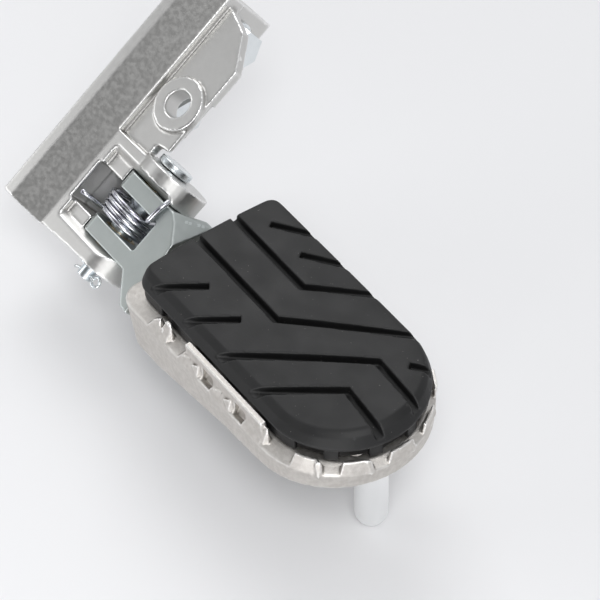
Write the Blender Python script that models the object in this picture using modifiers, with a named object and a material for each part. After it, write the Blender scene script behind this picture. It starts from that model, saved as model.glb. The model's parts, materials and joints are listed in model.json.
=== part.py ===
"""Right-hand rider's footpeg of a motorcycle, hinged in the hanger that carries it.

A cast stainless platform with a toothed rim holds a removable rubber tread pad. It is screwed
to a zinc-plated adapter, whose two arms turn on a clevis pin between the ears of a cast
aluminium hanger. A torsion spring round the pin folds the peg back down.

The origin is on the hanger's flat face against the motorcycle's frame. X points outward along
the peg, Y forward and Z up. The clevis pin leans forward and up by PIN_LEAN.
"""
import math

import bmesh
import bpy
from mathutils import Matrix, Vector

MM = 0.001

# Clearances
FIT = 0.3 * MM
RUNNING = 0.3 * MM

# Tread pad and platform, in the peg's frame: x outward from the pad's inner edge, y forward,
# z up from the pad's seam
PAD_LENGTH = 88.2 * MM
PAD_REAR = 24.5 * MM
PAD_FRONT = 24.2 * MM
PAD_TIP_SHIFT = 0.6 * MM
PAD_CORNER = 6.0 * MM
PAD_RISE = 3.2 * MM
PAD_CROWN = 1.4 * MM
PAD_BEVEL = 3.9 * MM
SKIRT_DEPTH = 5.4 * MM
SKIRT_INSET = 0.7 * MM
POCKET_DEPTH = 2.6 * MM
LIP = 0.5 * MM
GROOVE_WIDTH = 2.4 * MM
GROOVE_RIGHT = 0.85 * MM
GROOVE_FLOOR = 1.4 * MM
KNOB_DIAMETER = 7.0 * MM
KNOB_HEAD = 9.4 * MM
KNOB_HEAD_HEIGHT = 2.2 * MM

RIM_BEYOND_TIP = 1.8 * MM
RIM_BEYOND_REAR = 3.6 * MM
RIM_BEYOND_FRONT = 2.2 * MM
RIM_TIP_SHIFT = 1.8 * MM
RIM_CORNER = 6.0 * MM
RIM_DROP = 7.0 * MM
CASTING_INNER_GAP = 4.0 * MM
END_SLOPE = 0.2
FLOOR_THICKNESS = 2.8 * MM
WALL = 3.2 * MM
WALL_TUCK = 0.6 * MM
DEPTH_AT_HINGE = 22.5 * MM
DEPTH_AT_MIDDLE = 16.2 * MM
DEPTH_AT_TIP = 12.5 * MM
DEEP_LENGTH = 14.0 * MM
MIDDLE = 48.0 * MM
FENCE_THICKNESS = 1.8 * MM
FENCE_START = 28.0 * MM
FENCE_LENGTH = 35.0 * MM
FIRST_TOOTH = 15.3 * MM
TOOTH_PITCH = 14.65 * MM
SIDE_TEETH = 4
TIP_TEETH = 5
TIP_TOOTH_STEP = 30.0
TOOTH_GAP = 0.35 * MM
TOOTH_REACH = 1.5 * MM
SIDE_TOOTH_LENGTH = 8.8 * MM
SIDE_TOOTH_HEIGHT = 5.8 * MM
TIP_TOOTH_LENGTH = 8.6 * MM
TIP_TOOTH_HEIGHT = 3.7 * MM

FEELER_X = 76.0 * MM
FEELER_DIAMETER = 9.6 * MM
FEELER_THREAD = 6.0 * MM
FEELER_LENGTH = 28.0 * MM
BOSS_BOTTOM = 22.0 * MM
BOSS_TOP_RADIUS = 12.0 * MM
BOSS_BOTTOM_RADIUS = 6.4 * MM

# Hinge, in the hinge's frame: x outward, y forward along the pin, z up across the ears
PIN_LEAN = math.radians(34.0)
PIN_DIAMETER = 8.0 * MM
PIN_HEAD_DIAMETER = 11.2 * MM
PIN_HEAD_THICKNESS = 2.3 * MM
PIN_TAIL = 4.8 * MM
PIN_TAIL_DIAMETER = 5.0 * MM
SPLIT_WIRE = 1.0 * MM
SPLIT_EYE = 2.9 * MM
PIVOT_WASHER = 0.6 * MM
BUSH_WALL = 1.0 * MM
CLEVIS_WIDTH = 22.6 * MM
SPRING_SLOT = 10.6 * MM
SLOT_REACH = 13.2 * MM
ARM_RADIUS = 9.2 * MM
ARM_HALF_HEIGHT = 7.8 * MM
FORK_REACH = 14.9 * MM

EAR_TOP = 8.0 * MM
EAR_CENTRE = 2.9 * MM
REAR_EAR_RADIUS = 8.0 * MM
FRONT_EAR_RADIUS = 11.0 * MM
REAR_EAR_OUTER = 17.8 * MM
FRONT_EAR_OUTER = 18.0 * MM
CLEVIS_ROOT = 17.1 * MM
STOP_REAR_WIDTH = 4.1 * MM
STOP_FRONT_WIDTH = 4.8 * MM
RAMP_REACH = 11.1 * MM
BLOCK_BOTTOM = 9.0 * MM
FRAME_FACE = 35.1 * MM
PLATE_TOP = 12.0 * MM
PLATE_BOTTOM = 20.0 * MM
PLATE_FRONT = 68.0 * MM
PLATE_REAR = 19.6 * MM
WEB_REAR = 22.0 * MM
WEB_TOP = 5.5 * MM
WEB_THICKNESS = 3.5 * MM
WEB_REACH = 1.7 * MM
WEB_HOLE = 8.5 * MM

FRAME_BOLT_DIAMETER = 8.0 * MM
FRAME_BOLT_GRIP = 12.0 * MM
FRAME_BOLT_HEIGHT = -9.5 * MM
FRAME_BOLT_REAR = 31.0 * MM
FRAME_BOLT_SPACING = 26.0 * MM
FRAME_BOLT_INTO_FRAME = 14.0 * MM

COIL_DIAMETER = 18.8 * MM
COIL_SKEW = 1.6 * MM
WIRE = 1.6 * MM
COIL_TURNS = 4
LEG_HEIGHT = 7.6 * MM

# Where the peg's frame and the hinge's frame meet: the pin's middle, seen from the pad's datum
PIN_FROM_PAD = Vector((-28.4, -6.8, -11.1)) * MM

# Corners of the adapter's flat top beyond the fork, in the hinge's x and y
SHOULDER = (
    (17.9 * MM, 9.1 * MM), (22.7 * MM, 3.8 * MM), (22.2 * MM, -18.8 * MM), (25.4 * MM, -19.3 * MM),
)
FLANGE_FRONT = 8.5 * MM
FLANGE_TOP = 4.0 * MM
FLANGE_UNDERCUT = 3.6 * MM
FLANGE_THICKNESS = 3.4 * MM
TONGUE_REAR = 13.5 * MM
TONGUE_FRONT = 8.5 * MM
TONGUE_LENGTH = 36.0 * MM
TONGUE_THICKNESS = 6.2 * MM
SCREW_DIAMETER = 6.0 * MM
SCREW_HEAD = 10.0 * MM
SCREW_HEAD_HEIGHT = 4.0 * MM
SCREW_FIRST = 10.0 * MM
SCREW_SPACING = 17.0 * MM
WASHER_THICKNESS = 1.2 * MM

# Heights and lengths that follow from the above
RIM_Z = -RIM_DROP
FLOOR_TOP = -SKIRT_DEPTH - FIT
FLOOR_BOTTOM = FLOOR_TOP - FLOOR_THICKNESS
PAD_WIDTH = PAD_REAR + PAD_FRONT
CASTING_INNER = -CASTING_INNER_GAP
PAD_PLAN = (PAD_LENGTH, PAD_REAR, PAD_FRONT, PAD_TIP_SHIFT, PAD_CORNER)
RIM_PLAN = (
    PAD_LENGTH + RIM_BEYOND_TIP, PAD_REAR + RIM_BEYOND_REAR, PAD_FRONT + RIM_BEYOND_FRONT, RIM_TIP_SHIFT,
    RIM_CORNER,
)
TONGUE_TOP = FLOOR_BOTTOM - FIT
TONGUE_BOTTOM = TONGUE_TOP - TONGUE_THICKNESS
HALF_CLEVIS = CLEVIS_WIDTH / 2
HALF_FORK = HALF_CLEVIS - RUNNING
PIN_BORE = PIN_DIAMETER / 2 + FIT
BUSH_OUTER = PIN_BORE + BUSH_WALL
STOP_FACE = ARM_RADIUS + FIT
SCREW_PLACES = (SCREW_FIRST, SCREW_FIRST + SCREW_SPACING)
KNOB_PLACES = (
    (44.0 * MM, 14.0 * MM), (44.0 * MM, -14.0 * MM), (64.0 * MM, 12.0 * MM), (64.0 * MM, -12.0 * MM),
)
BOLT_PLACES = (FRAME_BOLT_REAR, FRAME_BOLT_REAR + FRAME_BOLT_SPACING)
BOLT_FACE = FRAME_FACE - FRAME_BOLT_GRIP

# Frames: the mounting point is half way between the frame bolts
LEAN = Matrix.Rotation(PIN_LEAN, 4, "X")
MOUNT_IN_HINGE = Vector((-FRAME_FACE, sum(BOLT_PLACES) / 2, FRAME_BOLT_HEIGHT))
HINGE_ORIGIN = -(LEAN @ MOUNT_IN_HINGE)

ALONG_X = Matrix.Rotation(math.radians(90), 4, "Y")
ALONG_Y = Matrix.Rotation(math.radians(-90), 4, "X")
SIDE_VIEW = Matrix(((1, 0, 0, 0), (0, 0, 1, 0), (0, 1, 0, 0), (0, 0, 0, 1)))
END_VIEW = Matrix(((0, 0, 1, 0), (1, 0, 0, 0), (0, 1, 0, 0), (0, 0, 0, 1)))


def clear_scene():
    for thing in list(bpy.data.objects):
        bpy.data.objects.remove(thing, do_unlink=True)


def new_collection(name):
    collection = bpy.data.collections.new(name)
    bpy.context.scene.collection.children.link(collection)
    return collection


def finish(name, colour, metallic, roughness):
    material = bpy.data.materials.new(name)
    material.use_nodes = True
    shader = material.node_tree.nodes["Principled BSDF"]
    shader.inputs["Base Color"].default_value = (*colour, 1.0)
    shader.inputs["Metallic"].default_value = metallic
    shader.inputs["Roughness"].default_value = roughness
    return material


def empty(name, location, rotation=(0.0, 0.0, 0.0), parent=None):
    """An empty that stands for a frame, such as the hinge's axis."""
    frame = bpy.data.objects.new(name, None)
    frame.empty_display_size = 0.02
    frame.location = location
    frame.rotation_euler = rotation
    frame.parent = parent
    PARTS.objects.link(frame)
    return frame


def add(name, mesh, parent, material=None):
    """A visible piece where a material is given, otherwise a cutter or a shape to be joined."""
    piece = bpy.data.objects.new(name, mesh)
    piece.parent = parent
    if material is None:
        CUTTERS.objects.link(piece)
        piece.hide_render = True
        piece.display_type = "WIRE"
    else:
        PARTS.objects.link(piece)
        piece.data.materials.append(material)
    return piece


def mesh_from(bm, name):
    bmesh.ops.recalc_face_normals(bm, faces=bm.faces)
    mesh = bpy.data.meshes.new(name)
    bm.to_mesh(mesh)
    bm.free()
    return mesh


def combine(piece, other, operation):
    modifier = piece.modifiers.new(operation.lower() + " " + other.name, "BOOLEAN")
    modifier.operation = operation
    modifier.solver = "EXACT"
    modifier.object = other


def cut(piece, *others):
    for other in others:
        combine(piece, other, "DIFFERENCE")


def join(piece, *others):
    for other in others:
        combine(piece, other, "UNION")


def plate(outline, low, high, turn=Matrix()):
    """A flat outline given thickness from low to high, then turned into place."""
    curve = bpy.data.curves.new("outline", "CURVE")
    curve.dimensions = "2D"
    curve.fill_mode = "BOTH"
    curve.extrude = (high - low) / 2
    spline = curve.splines.new("POLY")
    spline.points.add(len(outline) - 1)
    for point, (u, v) in zip(spline.points, outline):
        point.co = (u, v, 0.0, 1.0)
    spline.use_cyclic_u = True
    sketch = bpy.data.objects.new("outline", curve)
    bpy.context.scene.collection.objects.link(sketch)
    mesh = bpy.data.meshes.new_from_object(sketch.evaluated_get(bpy.context.evaluated_depsgraph_get()))
    bpy.data.objects.remove(sketch)
    bm = bmesh.new()
    bm.from_mesh(mesh)
    bpy.data.meshes.remove(mesh)
    bmesh.ops.remove_doubles(bm, verts=bm.verts, dist=0.00001)
    bmesh.ops.translate(bm, verts=bm.verts, vec=(0, 0, (low + high) / 2))
    bmesh.ops.dissolve_limit(bm, angle_limit=math.radians(0.5), verts=bm.verts, edges=bm.edges)
    bmesh.ops.transform(bm, matrix=turn, verts=bm.verts)
    return mesh_from(bm, "plate")


def box(x, y, z):
    """A box between the two ends given along each axis."""
    size = Vector((x[1] - x[0], y[1] - y[0], z[1] - z[0]))
    centre = Vector((x[0] + x[1], y[0] + y[1], z[0] + z[1])) / 2
    bm = bmesh.new()
    bmesh.ops.create_cube(bm, size=1.0, matrix=Matrix.Translation(centre) @ Matrix.Diagonal(size).to_4x4())
    return mesh_from(bm, "box")


def cylinder(radius, start, end, place=Matrix(), end_radius=None, sides=32):
    """A cylinder or cone along the local z axis of place, from start to end."""
    bm = bmesh.new()
    middle = Matrix.Translation((0, 0, (start + end) / 2))
    last = radius if end_radius is None else end_radius
    bmesh.ops.create_cone(
        bm, cap_ends=True, segments=sides, radius1=radius, radius2=last, depth=end - start,
        matrix=place @ middle,
    )
    return mesh_from(bm, "cylinder")


def at(x, y, z=0.0):
    return Matrix.Translation((x, y, z))


def turned(profile, closed=False):
    """A turned piece: (radius, height) points, down the outer side, spun about the z axis."""
    mesh = bpy.data.meshes.new("profile")
    edges = [(i, i + 1) for i in range(len(profile) - 1)]
    if closed:
        edges.append((len(profile) - 1, 0))
    mesh.from_pydata([(radius, 0.0, height) for radius, height in profile], edges, [])
    return mesh


def spin(piece, steps=32):
    modifier = piece.modifiers.new("spin", "SCREW")
    modifier.axis = "Z"
    modifier.angle = math.tau
    modifier.steps = steps
    modifier.render_steps = steps
    modifier.use_merge_vertices = True
    modifier.merge_threshold = 0.00002
    modifier.use_smooth_shade = True
    return modifier


def turned_piece(name, profile, parent, material=None, place=Matrix(), steps=32, closed=False):
    piece = add(name, turned(profile, closed), parent, material)
    piece.matrix_local = place
    spin(piece, steps)
    return piece


def ring(inner, outer, low, high, chamfer=0.0):
    """The closed profile of a washer or bush, down its outer side."""
    return [(inner, high), (outer - chamfer, high), (outer, high - chamfer), (outer, low + chamfer),
            (outer - chamfer, low), (inner, low)]


def arc(centre, radius, start, end, steps):
    """Points of an arc, both ends included; angles in degrees."""
    points = []
    for i in range(steps + 1):
        angle = math.radians(start + (end - start) * i / steps)
        points.append((centre[0] + radius * math.cos(angle), centre[1] + radius * math.sin(angle)))
    return points


def outline(plan, offset, inner, tip_steps=24, corner_steps=5):
    """A plan grown by offset: a straight inner edge, straight sides and a round tip."""
    length, rear, front, shift, corner = plan
    radius = rear - shift
    turn = max(corner + offset, 0.5 * MM)
    points = arc((length - radius, -shift), radius + offset, -90, 90, tip_steps)
    points += arc((inner + turn, front + offset - turn), turn, 90, 180, corner_steps)
    points += arc((inner + turn, turn - rear - offset), turn, 180, 270, corner_steps)
    return points


def loft(rings):
    """A closed body through outlines of equal point count, each an (outline, z) pair."""
    bm = bmesh.new()
    rows = [[bm.verts.new((x, y, z)) for x, y in outline] for outline, z in rings]
    for lower, upper in zip(rows, rows[1:]):
        for i in range(len(lower)):
            j = (i + 1) % len(lower)
            bm.faces.new((lower[i], lower[j], upper[j], upper[i]))
    bm.faces.new(rows[0])
    bm.faces.new(rows[-1])
    return bm


def hull(corners):
    """The convex body round a set of corners."""
    bm = bmesh.new()
    for corner in corners:
        bm.verts.new(corner)
    result = bmesh.ops.convex_hull(bm, input=bm.verts)
    spare = [item for item in result["geom_interior"] if isinstance(item, bmesh.types.BMVert)]
    bmesh.ops.delete(bm, geom=spare, context="VERTS")
    return mesh_from(bm, "hull")


def merged(meshes):
    """Separate closed bodies kept in one mesh, for cutting or joining in one go."""
    bm = bmesh.new()
    for mesh in meshes:
        bm.from_mesh(mesh)
    return mesh_from(bm, "set")


def band(points, left, right, low, high):
    """A groove cutter along a bent line, mitred at its bends: its two edges' distances from the line."""
    line = [Vector(point) for point in points]
    runs = [(after - before).normalized() for before, after in zip(line, line[1:])]
    left_edge = []
    right_edge = []
    for i, point in enumerate(line):
        before = runs[max(i - 1, 0)]
        after = runs[min(i, len(runs) - 1)]
        across = Vector((-before.y - after.y, before.x + after.x)).normalized()
        stretch = 1 / across.dot(Vector((-after.y, after.x)))
        left_edge.append(tuple(point + across * left * stretch))
        right_edge.append(tuple(point - across * right * stretch))
    return plate(right_edge + left_edge[::-1], low, high)


def rim_places():
    """Each tooth as (x, y, direction of its outward normal, kind), with x and y on the pad's edge."""
    radius = PAD_REAR - PAD_TIP_SHIFT
    tip_x = PAD_LENGTH - radius
    narrowing = PAD_FRONT - radius + PAD_TIP_SHIFT
    places = []
    for i in range(SIDE_TEETH):
        x = FIRST_TOOTH + i * TOOTH_PITCH
        places.append((x, -PAD_REAR, -90.0, "rear"))
        places.append((x, PAD_FRONT - narrowing * x / tip_x, 90.0, "front"))
    for i in range(TIP_TEETH):
        angle = TIP_TOOTH_STEP * (i - (TIP_TEETH - 1) / 2)
        x, y = arc((tip_x, -PAD_TIP_SHIFT), radius, angle, angle, 1)[0]
        places.append((x, y, angle, "tip"))
    return places


def tooth_turn(place):
    """The frame of a tooth: x along the rim, y towards the pad."""
    x, y, angle = place[:3]
    return Matrix.Translation((x, y, 0)) @ Matrix.Rotation(math.radians(angle + 90), 4, "Z")


def tooth(place):
    """One tooth: two-pointed and rising outward along the rear side, flat-topped elsewhere."""
    foot = RIM_Z - 0.8 * MM
    if place[3] == "rear":
        half = SIDE_TOOTH_LENGTH / 2
        height = SIDE_TOOTH_HEIGHT
        outline_points = [
            (-half, foot), (half, foot), (0.9 * half, RIM_Z + height), (0.5 * half, RIM_Z + height),
            (0.14 * half, RIM_Z + 0.28 * height), (-0.2 * half, RIM_Z + 0.7 * height),
            (-0.55 * half, RIM_Z + 0.52 * height), (-half, RIM_Z),
        ]
    else:
        half = TIP_TOOTH_LENGTH / 2
        top = RIM_Z + TIP_TOOTH_HEIGHT
        outline_points = [(-half, foot), (half, foot), (0.72 * half, top), (-0.72 * half, top)]
    return plate(outline_points, -5 * MM, -TOOTH_GAP, tooth_turn(place) @ SIDE_VIEW)


def build_pad(parent, rubber):
    """Rubber pad: crowned tread with chevron grooves, skirt with pockets, and knobs below."""
    steps = [
        (-SKIRT_INSET - 0.4 * MM, -SKIRT_DEPTH), (-SKIRT_INSET, -SKIRT_DEPTH + 0.5 * MM),
        (-SKIRT_INSET, -LIP), (0.0, -LIP + 0.2 * MM), (0.0, LIP * 0.6),
        (-0.45 * PAD_BEVEL, 0.72 * PAD_RISE), (-PAD_BEVEL, PAD_RISE),
    ]
    bm = loft([(outline(PAD_PLAN, offset, -offset), z) for offset, z in steps])
    for i in range(-4, 5):
        everything = bm.verts[:] + bm.edges[:] + bm.faces[:]
        bmesh.ops.bisect_plane(bm, geom=everything, plane_co=(0, i * PAD_WIDTH / 10, 0), plane_no=(0, 1, 0))
    for vertex in bm.verts:
        if vertex.co.z > LIP:
            share = vertex.co.z / PAD_RISE
            vertex.co.z += share * PAD_CROWN * (1 - (2 * vertex.co.y / PAD_WIDTH) ** 2)
    pad = add("tread_pad", mesh_from(bm, "tread_pad"), parent, rubber)
    knobs = []
    heads = []
    neck_end = FLOOR_BOTTOM - FIT
    for x, y in KNOB_PLACES:
        place = at(x, y)
        knobs.append(cylinder(KNOB_DIAMETER / 2, neck_end - 0.5 * MM, 0.5 * MM - SKIRT_DEPTH, place, sides=20))
        low = neck_end - KNOB_HEAD_HEIGHT
        heads.append(cylinder(KNOB_HEAD / 2 - 1.0 * MM, low, neck_end, place, KNOB_HEAD / 2, sides=20))
    join(pad, add("pad_knobs", merged(knobs), parent), add("pad_knob_heads", merged(heads), parent))
    grooves = add("pad_grooves", merged(groove_bars()), parent)
    cut(pad, grooves, add("pad_pockets", merged(skirt_pockets()), parent))
    return pad


def groove_bars():
    """The tread's pattern, as bent lines on the pad's top."""
    end = PAD_WIDTH / 2 + 2 * MM
    inner = -2 * MM
    tip = PAD_LENGTH + 2 * MM
    lines = (
        [(inner, 8.9 * MM), (34.3 * MM, 8.1 * MM), (52.5 * MM, end)],
        [(inner, -3.9 * MM), (39.6 * MM, -4.6 * MM), (71.5 * MM, end)],
        [(36.8 * MM, -end), (67.9 * MM, 8.1 * MM), (tip, 6.4 * MM)],
        [(52.4 * MM, -end), (70.8 * MM, -4.4 * MM), (tip, -6.4 * MM)],
        [(6.2 * MM, -end), (18.7 * MM, -11.7 * MM)],
        [(21.4 * MM, -end), (33.8 * MM, -11.8 * MM)],
        [(9.8 * MM, 15.4 * MM), (25.6 * MM, end)],
        [(24.3 * MM, 15.1 * MM), (40.2 * MM, end)],
        [(74.0 * MM, 14.1 * MM), (86.0 * MM, 24.0 * MM)],
    )
    left = GROOVE_WIDTH - GROOVE_RIGHT
    return [band(line, left, GROOVE_RIGHT, GROOVE_FLOOR, PAD_RISE + 2 * PAD_CROWN) for line in lines]


def skirt_pockets():
    """Pockets in the skirt, one behind each tooth round the tip and a narrow one by the first side tooth."""
    pockets = []
    low, high = -SKIRT_DEPTH - 2 * MM, -1.2 * MM
    for place in rim_places():
        if place[3] == "tip":
            mesh = box((-4.0 * MM, 4.0 * MM), (-4 * MM, POCKET_DEPTH), (low, high))
        elif place[0] == FIRST_TOOTH:
            mesh = box((-2.6 * MM, 0.0), (-4 * MM, POCKET_DEPTH), (low, high))
        else:
            continue
        mesh.transform(tooth_turn(place))
        pockets.append(mesh)
    return pockets


def end_face(z):
    """The casting's inner end at a height: it leans outward going down."""
    return CASTING_INNER + END_SLOPE * (RIM_Z - z)


def build_casting(parent, stainless):
    """Cast platform: rim and walls, ribbed open floor, teeth, side fences and feeler boss."""
    rings = []
    wall = (
        (-WALL_TUCK, -DEPTH_AT_HINGE - 1.5 * MM), (-0.2 * MM, RIM_Z - 3.0 * MM), (0.0, RIM_Z - 1.4 * MM),
        (0.0, RIM_Z - 0.4 * MM),
    )
    for offset, z in wall:
        rings.append((outline(RIM_PLAN, offset, end_face(z)), z))
    rings.append((outline(RIM_PLAN, -0.4 * MM, CASTING_INNER + 0.4 * MM), RIM_Z))
    rings.append((outline(PAD_PLAN, -SKIRT_INSET, SKIRT_INSET), FLOOR_TOP))
    casting = add("peg_casting", mesh_from(loft(rings), "peg_casting"), parent, stainless)

    cavity_offset = -WALL_TUCK - WALL
    cavity_end = -DEPTH_AT_HINGE - 5 * MM
    cavity = loft([
        (outline(RIM_PLAN, cavity_offset - 0.6 * MM, end_face(cavity_end) + WALL), cavity_end),
        (outline(RIM_PLAN, cavity_offset, end_face(FLOOR_BOTTOM) + WALL), FLOOR_BOTTOM),
    ])
    beyond = PAD_LENGTH + 40 * MM
    under = -DEPTH_AT_HINGE - 20 * MM
    slope = plate(
        [(-beyond, -DEPTH_AT_HINGE), (DEEP_LENGTH, -DEPTH_AT_HINGE), (MIDDLE, -DEPTH_AT_MIDDLE),
         (PAD_LENGTH, -DEPTH_AT_TIP), (beyond, -DEPTH_AT_TIP + 2 * MM), (beyond, under), (-beyond, under)],
        -2 * PAD_WIDTH, 2 * PAD_WIDTH, SIDE_VIEW)
    cut(casting, add("bottom_slope", slope, parent), add("underside", mesh_from(cavity, "cavity"), parent))

    boss = cylinder(BOSS_BOTTOM_RADIUS, -BOSS_BOTTOM, FLOOR_BOTTOM + 1 * MM, at(FEELER_X, 0), BOSS_TOP_RADIUS)
    rib_start = TONGUE_LENGTH + 2 * MM
    rib = box((rib_start, FEELER_X), (-1.5 * MM, 1.5 * MM), (-DEPTH_AT_MIDDLE + 1 * MM, FLOOR_BOTTOM + 1 * MM))
    join(casting, add("feeler_boss", boss, parent), add("underside_rib", rib, parent))
    flare = loft([
        (outline(RIM_PLAN, -0.15 * MM, CASTING_INNER), RIM_Z - 1.0 * MM),
        (outline(RIM_PLAN, -0.15 * MM, CASTING_INNER), RIM_Z),
        (outline(PAD_PLAN, TOOTH_REACH, CASTING_INNER), RIM_Z + TIP_TOOTH_HEIGHT),
        (outline(PAD_PLAN, TOOTH_REACH, CASTING_INNER), RIM_Z + 2 * SIDE_TOOTH_HEIGHT),
    ])
    teeth = add("teeth", merged([tooth(place) for place in rim_places()]), parent)
    combine(teeth, add("teeth_flare", mesh_from(flare, "flare"), parent), "INTERSECT")
    join(casting, add("fence", fence(), parent), teeth)
    cut(casting, add("floor_windows", merged(floor_windows()), parent),
        add("casting_holes", merged(casting_holes()), parent), add("tongue_gate", tongue_gate(), parent))
    return casting


def fence():
    """Low wall that stands beside the pad along its rear side."""
    near = -PAD_REAR - FIT
    return box((FENCE_START, FENCE_START + FENCE_LENGTH), (near - FENCE_THICKNESS, near), (RIM_Z - 1 * MM, -LIP))


def window(x, y, corner=2.0 * MM):
    """A rounded opening through the floor between two x and two y values."""
    low, high = FLOOR_BOTTOM - 8 * MM, FLOOR_TOP + 2 * MM
    points = arc((x[1] - corner, y[1] - corner), corner, 0, 90, 3)
    points += arc((x[0] + corner, y[1] - corner), corner, 90, 180, 3)
    points += arc((x[0] + corner, y[0] + corner), corner, 180, 270, 3)
    points += arc((x[1] - corner, y[0] + corner), corner, 270, 360, 3)
    return plate(points, low, high)


def floor_windows():
    """Openings that let mud fall through the platform."""
    near = 3.6 * MM
    far = PAD_WIDTH / 2 - 4.5 * MM
    windows = []
    for side in (-1, 1):
        y = sorted((side * near, side * (KNOB_PLACES[0][1] - KNOB_DIAMETER / 2 - 2.5 * MM)))
        windows.append(window((39 * MM, 47 * MM), y, 1.5 * MM))
        y = sorted((side * near, side * far))
        windows.append(window((50 * MM, 58.5 * MM), y))
        y = sorted((side * (TONGUE_REAR + 2 * MM), side * far))
        windows.append(window((8 * MM, 32 * MM), y, 1.5 * MM))
        y = sorted((side * 5.5 * MM, side * 11.5 * MM))
        windows.append(window((78 * MM, 83.5 * MM), y))
    return windows


def casting_holes():
    """Holes for the pad's knobs, the screws and the feeler bolt."""
    low, high = FLOOR_BOTTOM - 2 * MM, FLOOR_TOP + 2 * MM
    holes = [cylinder(KNOB_DIAMETER / 2 + FIT, low, high, at(x, y), sides=24) for x, y in KNOB_PLACES]
    holes += [cylinder(SCREW_DIAMETER / 2 + FIT, low, high, at(x, 0), sides=24) for x in SCREW_PLACES]
    holes.append(cylinder(FEELER_THREAD / 2 + FIT, -BOSS_BOTTOM - 2 * MM, high, at(FEELER_X, 0), sides=24))
    return holes


def tongue_gate():
    """The way through the inner end wall for the adapter's tongue."""
    end = end_face(-DEPTH_AT_HINGE) + WALL + 3 * MM
    sides = (-TONGUE_REAR - FIT, TONGUE_FRONT + FIT)
    return box((-20 * MM, end), sides, (-DEPTH_AT_HINGE - 5 * MM, FLOOR_BOTTOM))


def build_adapter(peg, hinge, zinc):
    """Forged adapter: a fork on the pin, twisting into a flange and a tongue under the platform."""
    to_hinge = hinge_from_pad()
    half = HALF_FORK
    fork = box((-ARM_RADIUS, FORK_REACH), (-half, half), (-ARM_HALF_HEIGHT, ARM_HALF_HEIGHT))
    adapter = add("hinge_adapter", fork, hinge, zinc)

    corner = cylinder(ARM_RADIUS, -half - 2 * MM, half + 2 * MM, ALONG_Y, sides=40)
    below = box((-ARM_RADIUS, FORK_REACH + 1 * MM), (-half - 1 * MM, half + 1 * MM), (-ARM_HALF_HEIGHT, 0.0))
    ahead = box(
        (0.0, FORK_REACH + 1 * MM), (-half - 1 * MM, half + 1 * MM), (-ARM_HALF_HEIGHT, ARM_HALF_HEIGHT)
    )
    rounding = add("arm_rounding", corner, hinge)
    join(rounding, add("arm_heel", below, hinge), add("arm_top", ahead, hinge))
    combine(adapter, rounding, "INTERSECT")

    corners = []
    for x, inset in ((FORK_REACH - 1 * MM, 0.4 * MM), (FORK_REACH, 0.0)):
        for y in (inset - half, half - inset):
            for z in (inset - ARM_HALF_HEIGHT, ARM_HALF_HEIGHT - inset):
                corners.append(Vector((x, y, z)))
    for x, y in SHOULDER:
        corners.append(Vector((x, y, ARM_HALF_HEIGHT)))
    rear_top = to_hinge.inverted() @ Vector((*SHOULDER[2], ARM_HALF_HEIGHT))
    rear_low = rear_top.z - FLANGE_UNDERCUT - FLANGE_THICKNESS / 2
    ends = (
        (FLANGE_FRONT - 2.5 * MM, -FLANGE_TOP), (FLANGE_FRONT, TONGUE_BOTTOM),
        (rear_top.y + FLANGE_UNDERCUT, rear_low),
    )
    for y, z in ends:
        outer = end_face(z) - FIT
        for x in (outer - FLANGE_THICKNESS, outer):
            corners.append(to_hinge @ Vector((x, y, z)))
    tongue = box(
        (CASTING_INNER - FIT - 1 * MM, TONGUE_LENGTH), (-TONGUE_REAR, TONGUE_FRONT), (TONGUE_BOTTOM, TONGUE_TOP)
    )
    join(adapter, add("adapter_neck", hull(corners), hinge), add("adapter_tongue", tongue, peg))

    slot = box((-30 * MM, SLOT_REACH), (-SPRING_SLOT / 2, SPRING_SLOT / 2), (-20 * MM, 20 * MM))
    bore = cylinder(BUSH_OUTER + FIT, -20 * MM, 20 * MM, ALONG_Y)
    holes = [cylinder(SCREW_DIAMETER / 2 + FIT, TONGUE_BOTTOM - 2 * MM, TONGUE_TOP + 2 * MM, at(x, 0), sides=24)
             for x in SCREW_PLACES]
    cut(adapter, add("spring_slot", slot, hinge), add("adapter_bore", bore, hinge),
        add("adapter_screw_holes", merged(holes), peg))
    return adapter


def hinge_from_pad():
    """The change from the peg's frame to the hinge's frame."""
    return LEAN.inverted() @ Matrix.Translation(-PIN_FROM_PAD)


def build_bushes(hinge, bronze):
    """A plain bush in each arm of the adapter."""
    inner_face = SPRING_SLOT / 2
    for name, side in (("pivot_bush_rear", -1), ("pivot_bush_front", 1)):
        ends = sorted((side * inner_face, side * HALF_FORK))
        profile = ring(PIN_BORE, BUSH_OUTER, ends[0], ends[1], 0.3 * MM)
        turned_piece(name, profile, hinge, bronze, ALONG_Y, closed=True)


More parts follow.
